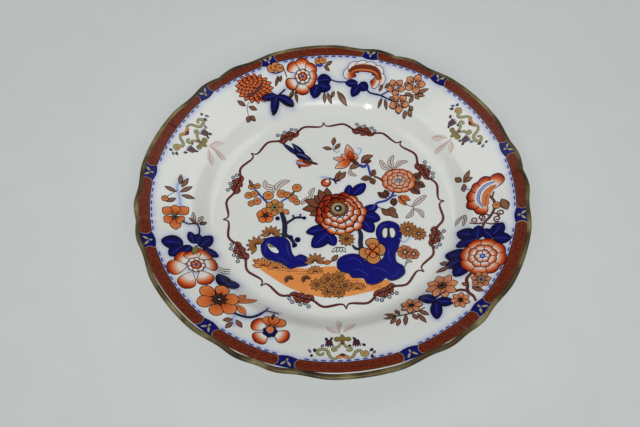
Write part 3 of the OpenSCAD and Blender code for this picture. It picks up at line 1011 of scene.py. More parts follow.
def paint_ground():
    """An orange bank with scratched grass and small flowers."""
    p = Painter("bank")
    p.fill("ground", [(-53, -37.5), (-45, -38.5), (-35, -42), (-18, -45), (0, -43.5), (6, -48),
                      (20, -54), (33, -54), (36, -56.5), (30, -60.5), (20, -63), (10, -65.3),
                      (-3, -66.3), (-12, -65), (-22, -62), (-31, -57.5), (-40, -51), (-48, -44.5)])
    p.line("leaf", [(-53, -38), (-46, -40), (-38, -42), (-30, -45)], 1.6, 0.6)
    for x, y, length in ((-50, -40.5, 7), (-46, -42.5, 9), (-42, -44.5, 10), (-37, -46.2, 12),
                         (-30, -47.2, 15), (-24, -49, 12), (6, -54.5, 9), (10, -57, 12), (17, -58.5, 12),
                         (24, -60, 8)):
        for dash in np.arange(0, length, 1.7):
            p.line("maroon", [(x + dash, y), (x + dash + 1.1, y + 0.35)], 0.45)
    for x, y in ((-29, -53), (-18, -53)):
        star(p, (x, y), 3.4, 7, "leaf", turn=18, arc=200, line=0.3)
    for x, y, radius, first, sweep in ((-46, -43, 7.0, 20, 150), (-38, -45, 6.0, 30, 130),
                                       (-12, -48, 5.4, 10, 160), (15, -61, 5.6, 20, 140)):
        star(p, (x, y), radius, 7, "ground", turn=first, arc=sweep, vein="leaf", outline="leaf", line=0.4)
    for x, y, radius in ((-11, -57, 5.0), (7, -58, 5.2), (-4, -62, 4.6), (-4, -53, 5.0), (3, -51.5, 4.6),
                         (-1, -58, 5.4), (3, -63, 4.2)):
        star(p, (x, y), radius, 9, "ochre", turn=x * 9, vein=None, outline="leaf", line=0.35)
        dot(p, "leaf", (x, y), 0.8)
    p.finish("orange_ground")


def paint_rocks():
    p = Painter("rocks")
    left = [(-42, -21), (-36, -20.5), (-32, -21.5), (-29, -25), (-28, -30), (-27, -34), (-25, -36),
            (-22, -34.5), (-19, -35.5), (-16.5, -38), (-17, -42), (-20, -43), (-24, -43.5), (-28, -45),
            (-31, -43), (-34, -40.5), (-40, -38.5), (-45, -36), (-47, -32), (-47.5, -27), (-46, -23)]
    right = [(33, -37), (33.5, -31), (31, -26.5), (28.8, -20), (29.8, -14), (33.5, -10.3), (38.5, -9.7),
             (43, -12), (45.4, -17), (45, -23), (43.5, -27), (42.5, -31), (40.5, -35), (41, -41),
             (45, -44), (46, -49), (42, -53), (37, -54.5), (33, -52.5), (31, -55), (26, -57.3),
             (21.5, -56.5), (19, -52.5), (12, -52), (10, -49), (6, -48), (3, -45.5), (2.3, -42), (3, -39),
             (6, -36.2), (12, -34.5), (17, -35.5), (20, -39), (24, -41.5), (29, -41)]
    for outline in (left, right):
        p.fill("cobalt", outline, 0.35)
        p.line("navy", outline, 0.8, closed=True)
    marks = (((-45, -33), (-44, -25), (-40, -22.5)), ((-31, -24), (-30, -31), (-28, -38)),
             ((-38, -36), (-33, -38), (-29, -42)), ((-24, -38), (-21, -37), (-19, -39.5)),
             ((31, -20), (32, -14), (37, -11.5)), ((37, -30), (36, -36), (38, -42)),
             ((8, -40), (13, -37.5), (17, -40), (19, -44)), ((25, -45), (31, -46), (36, -50)),
             ((12, -46), (18, -47), (23, -52)), ((42, -46), (41, -50), (37, -52)))
    for path in marks:
        p.line("violet", path, 0.4, 0.8)
    p.fill("white", [(-43.5, -26), (-41, -26.5), (-37, -30), (-36, -32.5), (-38, -33), (-41.5, -30.5)])
    p.fill("olive", [(-43.5, -26), (-41, -26.5), (-38.5, -28.6), (-40, -28.8), (-42, -28.4)])
    for x, tilt in ((34.5, 0.6), (39.5, -0.4)):
        hole = [(x - 1.7, -18.5), (x - 1.2 + tilt, -15.4), (x + 1 + tilt, -15.2), (x + 1.9, -18.5),
                (x + 0.8, -22), (x - 1.1, -22)]
        p.fill("white", hole)
        p.line("olive", hole, 0.5, closed=True)
    p.line("navy", [(37, -15), (36.6, -18.5), (37.2, -22)], 1.2)
    p.finish("cobalt_rocks")


def paint_tree(p):
    """Left of the great flower: a little fruit tree growing out of the rock."""
    p.line("violet", [(-54, 20), (-52, 17), (-48, 11.5), (-43.5, 6)], 1.5, (0.6, 0))
    p.line("violet", [(-36, 5), (-34, 8), (-30, 10.5)], 1.2)
    p.line("navy", [(-35, 0), (-33, -6), (-32, -12), (-32.5, -21)], 3.4, (0.3, 0))
    p.line("navy", [(-32, -11), (-27, -7), (-24, -5.5), (-18, -6)], 1.7, (0, 0.4))
    p.line("navy", [(-26, -7), (-26.5, -3.5)], 1.3)
    p.line("navy", [(-22, -5.5), (-21.5, -2.8)], 1.2)
    p.line("navy", [(-31.5, -19), (-28, -22), (-26, -26), (-26.5, -29)], 2.4, (0, 0.5))
    for x, y, radius in ((-23.5, -23, 2.0), (-25.5, -27, 1.8), (-28, -21, 1.6), (-37, -6, 1.6),
                         (-19, -6, 1.3)):
        dot(p, "cobalt", (x, y), radius, (0.7, 0.9))
    open_leaf(p, [(-39.5, 15), (-41, 19), (-45, 20), (-46, 25)], 4.6)
    open_leaf(p, [(-35, 15), (-37.5, 19), (-34, 23), (-29, 24.5)], 4.6)
    buds(p, ((-57, 13, 2.6), (-53, 14, 2.6), (-51, 8, 2.8), (-55, 6.3, 2.3), (-43.5, 12.5, 3.6),
             (-34.5, 13.8, 3.2), (-30.5, 13, 2.4), (-26.5, 9.8, 3.0), (-24, 6.8, 2.2), (-24, 18.5, 3.2),
             (-55, 20, 2.3), (-51, 20.5, 2.0)))
    leaf(p, (-54, 19), (-57, 26), 2.2)
    leaf(p, (-29, 11), (-25.5, 16), 1.8)
    ring_of_petals(p, (-45, -3.5), 1.0, 6.2, 5, 5.6, 20, colour="orange", tones=(0.1, 0.7), line=0.5)
    star(p, (-45, -3.5), 1.9, 6, "leaf")
    ring_of_petals(p, (-39, 2.8), 1.2, 6.4, 6, 5.0, 30, colour="ochre", tones=(0.1, 0.8), line=0.5)
    dot(p, "olive", (-39, 2.8), 2.3)
    dot(p, "ink", (-39, 2.8), 1.1)
    petal(p, (-33, -2), (-29.5, -0.2), 4.4, "orange", tones=(0.6, 0.9))
    for x, y, radius, first, sweep in ((-41, -19, 7.4, 5, 175), (-50, -27, 7.6, 50, 190),
                                       (-12, -40.5, 7.4, 0, 180)):
        star(p, (x, y), radius, 7, "ochre", turn=first, arc=sweep, width=2.3, line=0.35)
    leaf(p, (-1.5, -40), (-7, -41), 3.4, "orange")
    leaf(p, (-1.5, -40), (3, -35), 3.2, "leaf")


def paint_great_flower(p):
    p.line("navy", [(17, -14), (18.5, -20), (18, -26), (18.5, -31)], 3.2, (0.5, 0))
    p.line("navy", [(18.5, -30.5), (15, -30.5), (12.5, -27.5)], 2.0, (0, 0.6))
    for start, end, width in (((11, 10), (12, 20.5), 6.5), ((14, 12), (23, 21.5), 8.0),
                              ((20, -2), (31, 3), 7.0), ((20, -4), (32, -8), 9.5),
                              ((20, -8), (27, -18), 9.0), ((-2, -14), (-18, -17.5), 8.0),
                              ((-2, -17), (-14, -29), 11.0), ((-3, -19), (1, -28), 7.5)):
        blue_leaf(p, start, end, width)
    open_leaf(p, [(-14, 10), (-14.5, 14), (-12, 18.5)], 3.2)
    open_leaf(p, [(-16, 11), (-18, 9), (-21, 5)], 3.0)
    for start, end, width in (((-4, 3), (-20.5, 1), 7), ((-4, 3), (-19, 8.5), 7),
                              ((-3, 4), (-12.5, 12), 6.5), ((-3, 3), (-3.5, 18.5), 7),
                              ((-4, 4), (-9, 17), 6), ((-4, 1), (-15.5, -4), 6)):
        leaf(p, start, end, width, "leaf", tones=(0.35, 1.0), vein="maroon", line=0.45)
        leaf(p, start, end, width * 0.3, "rust", vein=None, outline=None)
    rows = (((5.5, -3.0), 11.5, 17.2, 15, 7.2, 6), ((5.2, -2.0), 7.5, 13.6, 13, 6.6, 0),
            ((4.6, -0.6), 5.0, 10.2, 11, 5.6, 12))
    for middle, inner, outer, count, width, turn in rows:
        for k in range(count):
            angle = turn + k * 360 / count
            way = np.array([math.cos(math.radians(angle)), math.sin(math.radians(angle))])
            uneven = 1 + 0.05 * math.cos(2.4 * k)
            shaded = 70 < angle < 200
            petal(p, middle + way * inner, middle + way * outer * uneven, width,
                  tones=(0.3, 1.1) if shaded else (-0.3, 0.9), line=0.5,
                  outline="maroon" if k % 3 else "violet",
                  widest=1.7 if shaded else 1.4, roundness=0.85 if shaded else 0.62)
    star(p, (4, 1), 7.4, 13, "rust", vein=None, line=0.35)
    dot(p, "olive", (4, 1), 4.8)
    dot(p, "cream", (3.6, 1.3), 3.9)
    dot(p, "ink", (4, 1), 2.8)
    # a painted glint: a small white spot on the flower's dark eye
    dot(p, "white", (3.5, 1.2), 0.9)
    star(p, (9, -23), 5.6, 11, "ochre", width=2.6, line=0.3)
    dot(p, "ink", (9, -23), 1.0)
    for x, y in ((17, -35.5), (26.5, -42.5), (34.5, -31), (26, -22.5)):
        petal(p, (25.7, -32), (x, y), 9.0, "ochre", tones=(0.0, 0.8), widest=1.5, line=0.6)
        petal(p, (25.7, -32), (25.7 + (x - 25.7) * 0.55, -32 + (y + 32) * 0.55), 4.6, "orange",
              tones=(0.1, 0.8), widest=1.5, line=0.5)
    for k in range(4):
        leaf(p, (3 + k, -29), (-1 + 3 * k, -33), 2.0, None, vein=None)


def paint_right_plants(p):
    """Flowers by the head of the right-hand rock."""
    star(p, (50, -16), 6.4, 13, "ochre", width=2.6, line=0.3)
    star(p, (57, -19.5), 5.4, 11, "ochre", width=2.5, turn=12, line=0.3)
    p.line("sky", [(44, -23), (47, -26), (51, -22)], 0.5)
    ring_of_petals(p, (47, -33.5), 0.8, 5.2, 7, 4.2, colour="peach", tones=(0.0, 0.4), outline="leaf")
    ring_of_petals(p, (52.5, -35), 0.8, 4.0, 6, 3.6, colour="peach", tones=(0.0, 0.4), outline="leaf")
    p.line("ink", [(48, -37), (47.5, -42), (45, -46)], 0.5)
    open_leaf(p, [(47, -42), (49, -40), (51, -41)], 2.2)
    buds(p, ((-4, 22.5, 3.4),), "red")
    dot(p, "white", (-3, 23.8), 1.2)
    p.line("sky", [(-8, 27), (-4, 27.2), (0, 25.5)], 0.8)
    p.line("navy", [(-2, 26.4), (1.5, 24.5), (3, 21.5)], 1.2)
    blue_leaf(p, (1, 25.5), (6, 24.5), 3.4)
    leaf(p, (2.5, 23.5), (6, 32.5), 3.4, "leaf")
    leaf(p, (4, 24.5), (10, 31.5), 4.2, "leaf")


def paint_rose(p):
    open_leaf(p, [(42, 33), (37, 35), (34, 41)], 4.2)
    open_leaf(p, [(43, 33), (41, 39), (43.5, 45)], 3.8)
    open_leaf(p, [(44, 34), (48, 38.5), (53, 39.5)], 3.6)
    leaves(p, (((55, 24), (62, 29)), ((56, 22), (64, 18)), ((53, 19), (60, 12))), 6.2, tones=(0.9, 0.3))
    p.line("maroon", [(29, 27), (32, 26), (36, 22.5)], 1.6)
    leaves(p, (((27, 26.5), (20, 25)), ((27, 27), (30, 33)), ((27, 26), (29, 20.5))), 4.6,
           tones=(0.7, 0.2))
    for count, inner, outer, width, tones, turn in ((11, 5.5, 12.0, 7.6, (-0.1, 0.62), 6),
                                                    (9, 3.0, 8.4, 5.8, (-0.05, 0.55), 0),
                                                    (6, 0.8, 5.2, 4.6, (0.0, 0.4), 12)):
        for k in range(count):
            angle = math.radians(turn + 360 * k / count)
            way = np.array([math.cos(angle), math.sin(angle) * 0.84])
            petal(p, (46, 23.3) + way * inner, (46, 23.3) + way * outer, width, tones=tones,
                  outline="maroon", line=0.45)
    p.line("grey", [(43, 22), (45, 24.6), (48, 24), (47.5, 21.8), (45.3, 22.2)], 0.9)
    p.line("violet", [(42, 14), (40, 10), (36, 7), (30, 5), (27, 0)], 1.7, (0, 0.4))
    p.line("violet", [(40, 10), (44, 11.5)], 1.1)
    leaves(p, (((37, 9), (31, 14)), ((38, 10), (36, 16)), ((41, 9), (42, 2.5)), ((43, 9), (41, 3))),
           4.4, tones=(0.9, 0.5))
    leaves(p, (((45, 10.5), (50, 3)), ((46, 11), (53, 7))), 4.6, "orange", tones=(0.2, 0.8))
    p.line("ink", [(45, 11), (50, 4), (55, 1), (52, -3)], 0.5)
    open_leaf(p, [(54, 2), (58, 6), (64, 11)], 4.0)
    open_leaf(p, [(55, 0), (59, -2), (61, -7)], 3.4)
    open_leaf(p, [(54, 0), (53, -4), (49, -7)], 3.0)
    p.line("ink", [(31, 1.5), (36, 0), (42, -2)], 0.5)
    leaves(p, (((33, 0), (39, -5)), ((37, 0), (43, -1)), ((38, -1), (44, -7))), 4.4, tones=(0.3, 0.8))


def paint_lily(p):
    p.line("violet", [(15, 38.5), (19, 37.5), (22, 36), (25, 37), (26, 32), (26.5, 28)], 1.7, (0.4, 0.4))
    p.line("violet", [(19, 38), (21, 35), (24, 35.5)], 1.1)
    leaf(p, (21, 38), (29.5, 45), 5.0, "leaf", bend=0.15, tones=(0.2, 0.9))
    leaf(p, (22, 39), (28, 40.5), 3.4, "maroon")
    leaf(p, (20, 36), (12.5, 33), 4.2, "leaf", bend=-0.2)
    open_leaf(p, [(13, 34), (13, 30), (17, 28)], 3.0)
    for tip, width in (((1, 43), 4.6), ((7, 46.5), 4.6), ((2.5, 34.5), 6.4), ((11.5, 55), 6.2),
                       ((17.5, 47), 6.0)):
        petal(p, (14, 41), tip, width, tones=(0.7, 0.1), widest=1.0, roundness=0.9, line=0.5)
    petal(p, (14.5, 40.5), (13, 49), 4.4, tones=(0.95, 0.35), widest=1.0, roundness=0.9, line=0.5)
    leaf(p, (13, 42), (19, 38), 3.0, "maroon")
    p.line("sky", [(18, 44), (20.5, 48), (21, 51), (18.5, 51.5)], 0.7)
    p.line("grey", [(2, 49), (1.5, 53), (2, 57)], 0.5)
    leaves(p, (((1.5, 54), (2.5, 61.5)), ((2.5, 50.5), (6.5, 56)), ((1, 51), (-6, 52.5))), 3.0)
    p.line("sky", [(2, 50), (4, 48), (6, 49.5)], 0.6)


# ---------------------------------------------------------------- sprays on the rim

def trefoil(p, hub, tips, width):
    for tip in tips:
        blue_leaf(p, hub, tip, width, depth=0.62)


def paint_top_spray(p):
    rows = ((5.5, 13.8, 17, 3.8), (4.5, 11.4, 15, 3.7), (3.0, 9.0, 13, 3.5), (1.5, 6.6, 10, 3.2),
            (0.4, 4.2, 7, 2.8))
    for inner, outer, count, width in rows:
        for k in range(count):
            angle = math.radians(k * 360 / count + inner * 9)
            way = np.array([math.cos(angle), math.sin(angle) * 0.84])
            leaf(p, (-54, 95) + way * inner, (-54, 95) + way * outer, width, "red",
                 vein=None, tones=(0.4, 0.8), outline="maroon", line=0.45)
    p.line("maroon", [(-60, 88), (-55, 90.5), (-50.5, 95), (-48, 101)], 2.6, 0.7)
    leaves(p, (((-60, 81), (-66, 84.5)), ((-58, 81), (-52, 79)), ((-57, 74), (-59, 69.5)),
               ((-57, 74), (-53, 72))), 3.2)
    p.line("grey", [(-58, 84), (-59, 80), (-58, 74)], 0.5)
    p.line("navy", [(-38, 90), (-35, 93), (-32, 96)], 1.3)
    trefoil(p, (-38, 90.5), ((-49, 87.5), (-41, 77.5), (-26, 85)), 5.6)
    buds(p, ((-42, 111, 3.2), (-39, 112.5, 3.4), (-36, 111.5, 3.0)))
    p.line("navy", [(-42, 108), (-39, 107.5), (-36, 108.5)], 1.0)
    p.line("ink", [(-35, 112), (-33, 111), (-31, 105)], 0.7)
    leaves(p, (((-37, 106), (-39, 97.5)), ((-35, 106), (-36, 101)), ((-26, 95), (-29, 89)),
               ((-25, 95), (-23.5, 87))), 2.2, tones=(0.4, 0.8))
    blue_leaf(p, (-9, 103), (1, 104), 9, depth=0.62)
    blue_leaf(p, (-9, 100), (0.5, 97), 9, depth=0.62)
    blue_leaf(p, (-9, 100), (-12, 90.5), 8.5, depth=0.62)
    leaves(p, (((-4, 94), (-4, 88)), ((-2, 94), (1, 87.5))), 2.6)
    peony(p, (-19.5, 105.5), ((-29.5, 115.5), (-20, 120), (-11, 115), (-9, 106), (-12, 98.5),
                              (-20, 92), (-31, 97.5)), 9.6, 5.4)
    buds(p, ((-8, 117.5, 2.6), (-5, 118, 2.6)))
    p.line("violet", [(-10, 114.5), (-7, 113.8), (-5, 115)], 1.5)
    leaves(p, (((-4, 114), (0, 110)), ((-3, 114), (2, 117.5))), 2.6)
    p.line("navy", [(0, 104), (5, 102), (12, 101.5), (20, 101)], 1.0)
    p.line("navy", [(25, 99), (28, 93), (36, 90), (44, 85)], 1.3, (0, 0.5))
    p.line("navy", [(36, 90), (43, 93), (47, 92)], 0.9, (0, 0.5))
    blue_leaf(p, (20, 100), (11, 101), 6, depth=0.62)
    blue_leaf(p, (21, 99), (15.5, 91), 7, depth=0.62)
    blue_leaf(p, (21, 100), (27, 95), 7.5, depth=0.62)
    leaf(p, (5, 95), (12, 86), 3.6)
    leaf(p, (3, 95), (1, 91), 2.4)
    flower(p, (25, 103), ((10.2, 109.5), (15, 115.6), (23, 117.2), (31.5, 115.2), (38.4, 110), (40, 101.8),
                          (35, 98.6)), 9.0, base=0.4, tones=(1.0, -0.35), line=0.4, outline="violet")
    arch = np.array([(14, 108.4), (18, 111), (23, 111.4), (30, 110.2), (34, 107), (35.6, 101.6)])
    p.line("maroon", arch, 5.6, 0.35)
    p.line("panel", arch, 4.8, 0.35)
    p.line("orange", arch - (0, 1.2), 1.2, 0.5)
    p.line("maroon", arch + (0, 0.4), 0.5, 0.5)
    leaves(p, (((35, 93), (38, 98)), ((39, 95), (43, 99)), ((37, 88), (34, 82)), ((39, 87), (40, 80))), 2.2)
    for x, y, radius in ((47, 95, 5.6), (60.5, 96, 6.4), (49, 83, 6.0)):
        ring_of_petals(p, (x, y), 0.8, radius * 1.2, 5, radius * 0.84, x, colour="peach",
                       tones=(0.0, 0.9), widest=1.25, roundness=1.1, outline="rust", line=0.5)
        star(p, (x, y), radius * 0.6, 5, "rust", turn=x, width=1.0, vein=None, outline=None)
    leaves(p, (((59, 87), (53, 90)), ((59, 87), (56, 82)), ((60, 88), (63, 84)), ((61, 88), (67, 86)),
               ((62, 89), (70, 91)), ((56, 80), (58, 76)), ((53, 77), (52, 72)), ((55, 77), (57, 72)),
               ((46, 86), (42, 88)), ((53, 95), (56, 98))), 2.8, tones=(0.0, 0.8))
    p.line("ink", [(47, 90), (53, 88), (60, 88), (66, 88)], 0.5)


def paint_left_spray(p):
    p.line("sky", [(-101, 20), (-104, 12), (-102, 5), (-101, -3)], 1.0)
    p.line("grey", [(-103, 10), (-107, 6), (-111, 2)], 0.5)
    leaves(p, (((-104, 8), (-112, 11)), ((-102, 8), (-94, 14)), ((-101, 6), (-92, 5)),
               ((-101, 12), (-97, 20)), ((-102, 14), (-102, 22)), ((-104, 3), (-110, -1))), 3.0)
    buds(p, ((-111, 1.5, 2.2),))
    flower(p, (-104, -11), ((-95.5, -3), (-104, -2.5), (-112, -6), (-110, -17), (-102.5, -22), (-98, -15)),
           7.0, "orange", tones=(0.1, 0.7), base=0.12, widest=1.3, roundness=1.05, line=0.5)
    star(p, (-104, -12), 2.6, 6, "leaf")
    p.line("navy", [(-99, -14), (-95, -16), (-90, -14.5), (-88, -18), (-88, -25)], 1.1)
    open_leaf(p, [(-91, -14), (-92, -10), (-92.5, -6)], 2.4)
    open_leaf(p, [(-89, -14), (-88, -10), (-86.5, -6.5)], 2.4)
    leaves(p, (((-88, -14), (-84, -10)), ((-89, -15), (-95, -11))), 2.0)
    for start, end, width in (((-97, -32), (-111, -32), 11), ((-97, -33), (-105, -43), 9),
                              ((-92, -33), (-98, -42), 8), ((-90, -31), (-94, -22), 6),
                              ((-87, -33), (-80, -20), 7.5), ((-85, -34), (-75, -36), 7),
                              ((-88, -31), (-88, -22), 6)):
        blue_leaf(p, start, end, width, depth=0.62)
    peony(p, (-88, -47.5), ((-101.5, -42.5), (-106, -53), (-94.5, -67), (-79, -62), (-75, -44),
                            (-83, -34.5), (-92, -37)), 11.5, 5.6)
    leaf(p, (-90.5, -40), (-88.5, -32), 3.4, "olive", vein="ink")
    for y in (-45.5, -47.5, -49.5):
        p.line("ink", [(-75, y), (-71, y - 0.6), (-67, y + 0.4)], 0.6, 0.6)
    blue_leaf(p, (-67, -62), (-74, -52), 10, depth=0.75)
    blue_leaf(p, (-70, -60), (-60.5, -58), 8, depth=0.62)
    p.line("navy", [(-64, -82), (-60, -84), (-53, -85.5), (-47, -83), (-43, -78), (-42, -75)],
           1.9, (0.2, 0.5))
    p.line("navy", [(-43.5, -78.5), (-39, -79), (-35, -79.8)], 1.5, (0, 0.3))
    leaves(p, (((-62, -74), (-56, -66)), ((-61, -75), (-49, -69)), ((-61, -76), (-55, -84))), 4.2,
           "orange", tones=(0.5, 0.9))
    flower(p, (-72, -73), ((-84, -65), (-85.5, -77), (-74, -86), (-62, -83), (-60, -72), (-70, -62)), 9.0,
           "orange", tones=(0.05, 0.75), base=0.12, line=0.5)
    star(p, (-72, -73), 5.4, 9, "leaf", tones=(1.0, 0.8))
    p.line("sky", [(-62, -84), (-63, -88), (-62, -92)], 0.8)
    leaves(p, (((-63, -88), (-69, -89)), ((-63, -90), (-67, -95)), ((-61, -88), (-57, -94))), 3.2)
    flower(p, (-40, -95.5), ((-51, -88.5), (-49, -104), (-28.5, -101.5)), 10.5, base=0.2,
           tones=(-0.4, 0.95), line=0.5)
    flower(p, (-39.5, -93.5), ((-42.5, -84), (-31, -86.5), (-37, -83.5)), 7.2, "orange",
           tones=(0.1, 0.7), base=0.2, line=0.5)
    dot(p, "sky", (-40, -96), 4.4)
    ring_of_petals(p, (-40, -96), 1.2, 4.6, 7, 3.2, colour="cobalt", tones=(0.6, 0.9), outline="violet")
    dot(p, "orange", (-40, -94.5), 2.4, (0.9, 0.5))
    leaf(p, (-39, -87), (-38, -80.5), 1.8, "ink")


def paint_right_spray(p):
    leaves(p, (((89, 16), (93.5, 24)), ((88, 17), (84, 22)), ((89, 16), (95, 18)), ((89, 15), (89, 9))), 3.2)
    p.line("grey", [(88, 14), (91, 10), (95, 8)], 0.5)
    p.line("maroon", [(104, 2), (107, -4), (106, -10), (103, -15), (99, -19), (97, -24)], 1.8)
    for x, y, first in ((92.6, -15.6, 200), (97.6, -14.6, 250), (107.4, -17.4, -70), (110, -13.4, -120)):
        swing = np.linspace(0, 1, 16)
        angles = np.radians(first + (480 if x < 100 else -480) * swing)
        coil = (x, y) + (0.5 + 2.1 * (1 - swing[:, None])) * np.stack([np.cos(angles), np.sin(angles)], -1)
        p.line("maroon", coil, 1.0, (0, 0.3))
    for path in ([(99, -19), (96, -19), (92, -18.2)], [(103, -14.5), (100, -12.4), (97, -17)],
                 [(100, -19.5), (104, -21), (108, -19.8)], [(105, -12.5), (108, -13.8), (109, -15.6)]):
        p.line("maroon", path, 1.1, (0, 0.2))
    buds(p, ((108, -7, 2.6),))
    leaf(p, (111.5, -2.5), (114.5, -12), 6.0)
    flower(p, (104.5, 1), ((95.5, -11.5), (89.5, -4), (90, 5), (95, 12.5), (102, 17), (112.5, 17.5)), 9.6,
           base=0.3, tones=(-0.3, 1.0), line=0.5)
    band = [(99.5, -6.5), (97, -1), (98.5, 5.5), (103, 10), (108.5, 11.5)]
    p.line("white", band, 4.4, 0.3)
    p.line("violet", band, 2.2, 0.3)
    p.line("sky", band, 1.0, 0.3)
    p.fill("orange", [(100, -6.5), (99, -1), (101, 5), (105, 8.5), (109.5, 9), (106.5, 4.5), (104, 0),
                      (103.5, -5)], 0.75)
    p.line("maroon", [(101, -6), (102, 0), (105, 5.5), (109.5, 8.8)], 0.6, 0.3)
    p.line("maroon", [(106.5, -4), (106, 0), (107.5, 4)], 1.2)
    open_leaf(p, [(88, -9), (84, -11), (81.5, -15)], 2.6)
    open_leaf(p, [(88, -9), (87.5, -13), (86, -17)], 2.4)
    for start, end, width in (((92, -29), (82, -20.5), 9), ((93, -31), (95.5, -20.5), 8.5),
                              ((92, -31), (80, -32.5), 8), ((103, -32), (97.5, -24), 7.5),
                              ((103, -30), (110.5, -21.5), 9), ((103, -32), (114, -34.5), 9)):
        blue_leaf(p, start, end, width, depth=0.62)
    blue_leaf(p, (86, -43), (73, -37), 10, depth=0.62)
    blue_leaf(p, (86, -45), (72, -48), 11, depth=0.62)
    blue_leaf(p, (86, -47), (76, -58), 10, depth=0.62)
    peony(p, (95, -45), ((91, -31.5), (102, -32.5), (109.5, -40.5), (109, -51), (100.5, -59),
                         (89.5, -59.5), (81.5, -52), (81.5, -40.5)), 11.0, 3.2)
    ring_of_petals(p, (95, -45), 2.6, 9.4, 8, 6.8, 10, tones=(-0.5, 0.75), outline="violet", line=0.45)
    ring_of_petals(p, (95, -45), 0.6, 5.4, 6, 4.6, 0, tones=(-0.5, 0.8), outline="violet", line=0.4)
    dot(p, "violet", (95, -45), 1.9)
    dot(p, "sky", (95, -45), 0.8)
    leaves(p, (((74, -45), (69, -43)), ((75, -48), (66, -50))), 3.2)
    p.line("maroon", [(87, -57), (83.5, -61), (83.5, -66), (83, -71), (86, -75), (87, -79)], 2.1, (0, 0.3))
    p.line("maroon", [(72, -68), (76, -69.5), (79, -69), (84, -71)], 1.9)
    leaves(p, (((86, -67), (90, -71)), ((86, -69), (93, -72)), ((84, -66), (80, -64))), 2.8)
    ring_of_petals(p, (68, -64), 1.0, 10.2, 8, 5.6, 8, colour="peach", tones=(0.1, 0.8), widest=1.2,
                   roundness=1.0, outline="rust", line=0.45)
    star(p, (68, -64), 3.0, 8, "leaf")
    ring_of_petals(p, (92, -63), 0.8, 6.4, 7, 3.8, colour="peach", tones=(0.0, 0.5), roundness=1.1,
                   outline="leaf", line=0.4)
    dot(p, "ink", (92, -63), 0.9)
    p.line("navy", [(62, -75), (66, -71), (70, -69)], 1.1)
    trefoil(p, (63, -76), ((53, -70), (74, -78), (62.5, -90)), 7.4)
    for x, y, radius in ((78, -77, 6.2), (48, -77, 7.0)):
        ring_of_petals(p, (x, y), 0.6, radius, 7, radius * 0.56, x, colour="peach", tones=(0.1, 0.8),
                       widest=1.2, roundness=1.0, outline="rust", line=0.45)
    for x, y in ((78, -77), (48, -77)):
        star(p, (x, y), 1.8, 5, "leaf")
    leaves(p, (((38, -84), (31, -81)), ((38, -85), (30, -86)), ((40, -84), (38, -78)), ((38, -86), (34, -91)),
               ((40, -87), (38, -93)), ((44, -84), (43, -93)), ((48, -84), (51, -89)),
               ((51, -84), (56, -92)), ((52, -82), (58, -86))), 2.8)
    p.line("ink", [(36, -85), (43, -84.5), (50, -83), (56, -80)], 0.5)


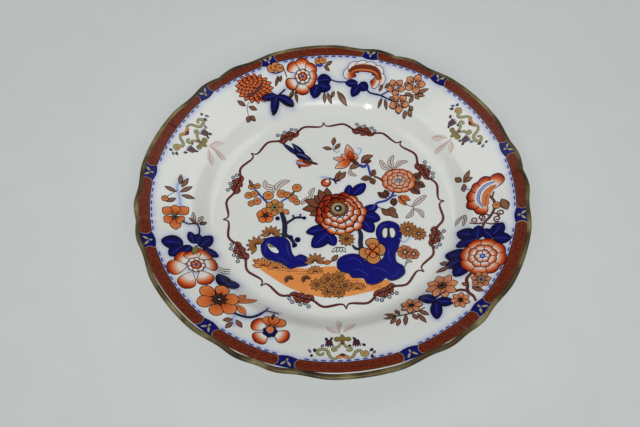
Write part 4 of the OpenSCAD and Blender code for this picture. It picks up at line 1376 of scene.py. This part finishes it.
def paint_ornaments(p):
    """Three scroll ornaments between the sprays, each with a pale sprig pointing inwards."""
    scrolls = (
        ([(-7.4, -111.4), (-8.4, -113.2), (-10.6, -112.8), (-11.2, -110.8), (-9.8, -109.2), (-6.6, -109.2),
          (-5, -110.6), (-4.2, -113.2), (-2.6, -115.8), (0.6, -116.4)], 2.3),
        ([(16.6, -112.4), (17.8, -111), (19.2, -112.6), (17.8, -114.4), (15.8, -113.4), (15.2, -111),
          (13.4, -110.4), (11.4, -112.2), (10, -115), (6.6, -116.6)], 2.3),
        ([(3.2, -104), (2.4, -106.2), (0.8, -107.6), (-1.4, -108.2), (-2, -109.6), (-0.6, -110.2),
          (0.6, -109.2)], 2.1),
        ([(4.8, -104), (5.4, -106), (6.6, -107.4), (8.6, -107.8), (9.4, -109.4), (8, -110.4), (6.4, -109.6)],
         2.1))
    for turn in (0.0, -120.8, 119.7):
        p.turn = math.radians(turn)
        leaves(p, (((1.8, -96.6), (-5.8, -91.4)), ((4.8, -96), (13, -87.6))), 4.4, "bisque",
               vein=None, outline=None)
        leaf(p, (2.6, -98), (1.6, -83), 3.4, "bisque", vein="blush", outline=None)
        p.line("blush", [(2.6, -97.4), (2, -93), (3, -90), (4, -87.5), (3, -84.5)], 0.8, 0.5)
        p.line("blush", [(5, -95.5), (7, -93.6), (10.5, -91.6), (12.8, -88.4)], 0.7, 0.5)
        p.line("blush", [(1.4, -96.4), (-2, -95), (-4.6, -93.2), (-5.4, -90.6)], 0.7, 0.5)
        for path, width in scrolls:
            p.line("moss", path, width, 0.3)
            p.line("pale_gold", path, width * 0.4, 0.6)
        dot(p, "ochre", (17.4, -112.2), 1.4)
        for x, y, radius in ((0.9, -101.4, 2.1), (7.8, -101.4, 1.9), (4.1, -101.2, 2.5)):
            dot(p, "olive", (x, y), radius)
            p.line("leaf", [(x - radius * 0.6, y - radius * 0.5), (x + radius * 0.7, y - radius * 0.4)], 0.5)
        leaf(p, (4.1, -101), (4, -97.2), 2.4, "olive", vein=None, outline=None)
        leaf(p, (3.8, -102.6), (4.4, -106), 1.8, "maroon", vein=None, outline=None)
        for x in (-4, 12.6):
            dot(p, "plum", (x, -103.8), 2.2)
            for step in (-1.8, -0.6, 0.7, 1.9):
                leaf(p, (x + step * 0.7, -103.6), (x + step * 1.3, -108.2 + abs(step) * 0.5), 1.3, "plum",
                     vein=None, outline=None)
        for start, end, width in (((-5, -102.6), (-6.2, -99.8), 1.6), ((-3.2, -102.4), (-1.8, -99.6), 1.3),
                                  ((12.8, -102.8), (10.4, -99.8), 1.4), ((16, -105), (18.2, -107.2), 1.5),
                                  ((7.2, -106.6), (9.6, -106.2), 1.2), ((-14.6, -115), (-14.8, -112.6), 1.5),
                                  ((-13, -111.4), (-12.6, -108), 1.6), ((20.4, -111.4), (22.6, -108.8), 1.6),
                                  ((21.5, -113.2), (21.7, -116.2), 1.5)):
            leaf(p, start, end, width * 1.35, "ink", vein=None, outline=None)
        for start, end in (((-7.2, -105), (-9, -107.8)), ((-15, -112), (-16.6, -108.6)),
                           ((22, -113.2), (24, -110.6))):
            leaf(p, start, end, 2.0, "grey", vein=None, outline=None)
        p.blob("ochre", [(-0.4, -115.6), (0.6, -113.8), (3.8, -113.4), (7, -113.8), (8, -115.6),
                         (5.8, -116.4), (3.8, -115.6), (1.6, -116.4)], tones=(0.6, 0.9))
        leaf(p, (1.4, -114), (6.4, -114), 2.4, "leaf", bend=0.1, vein=None, outline=None, tones=(1, 0.7))


paint_border()
paint_medallion_line()
paint_bay_sprays()
paint_ground()
paint_rocks()
garden = Painter("garden")
for paint in (paint_bird, paint_tree, paint_great_flower, paint_right_plants, paint_rose, paint_lily):
    paint(garden)
garden.finish("iron_red_flowers")
for name, paint, node in (("top_spray", paint_top_spray, "rim_leaves"),
                          ("left_spray", paint_left_spray, "orange_flowers"),
                          ("right_spray", paint_right_spray, None),
                          ("scrolls", paint_ornaments, "gilt_scrolls")):
    spray = Painter(name)
    paint(spray)
    spray.finish(*([node] if node else []))
build_body()
build_gilt_edge()
build_floor()
add_lights()
add_camera()
bpy.context.scene.view_settings.view_transform = "Standard"
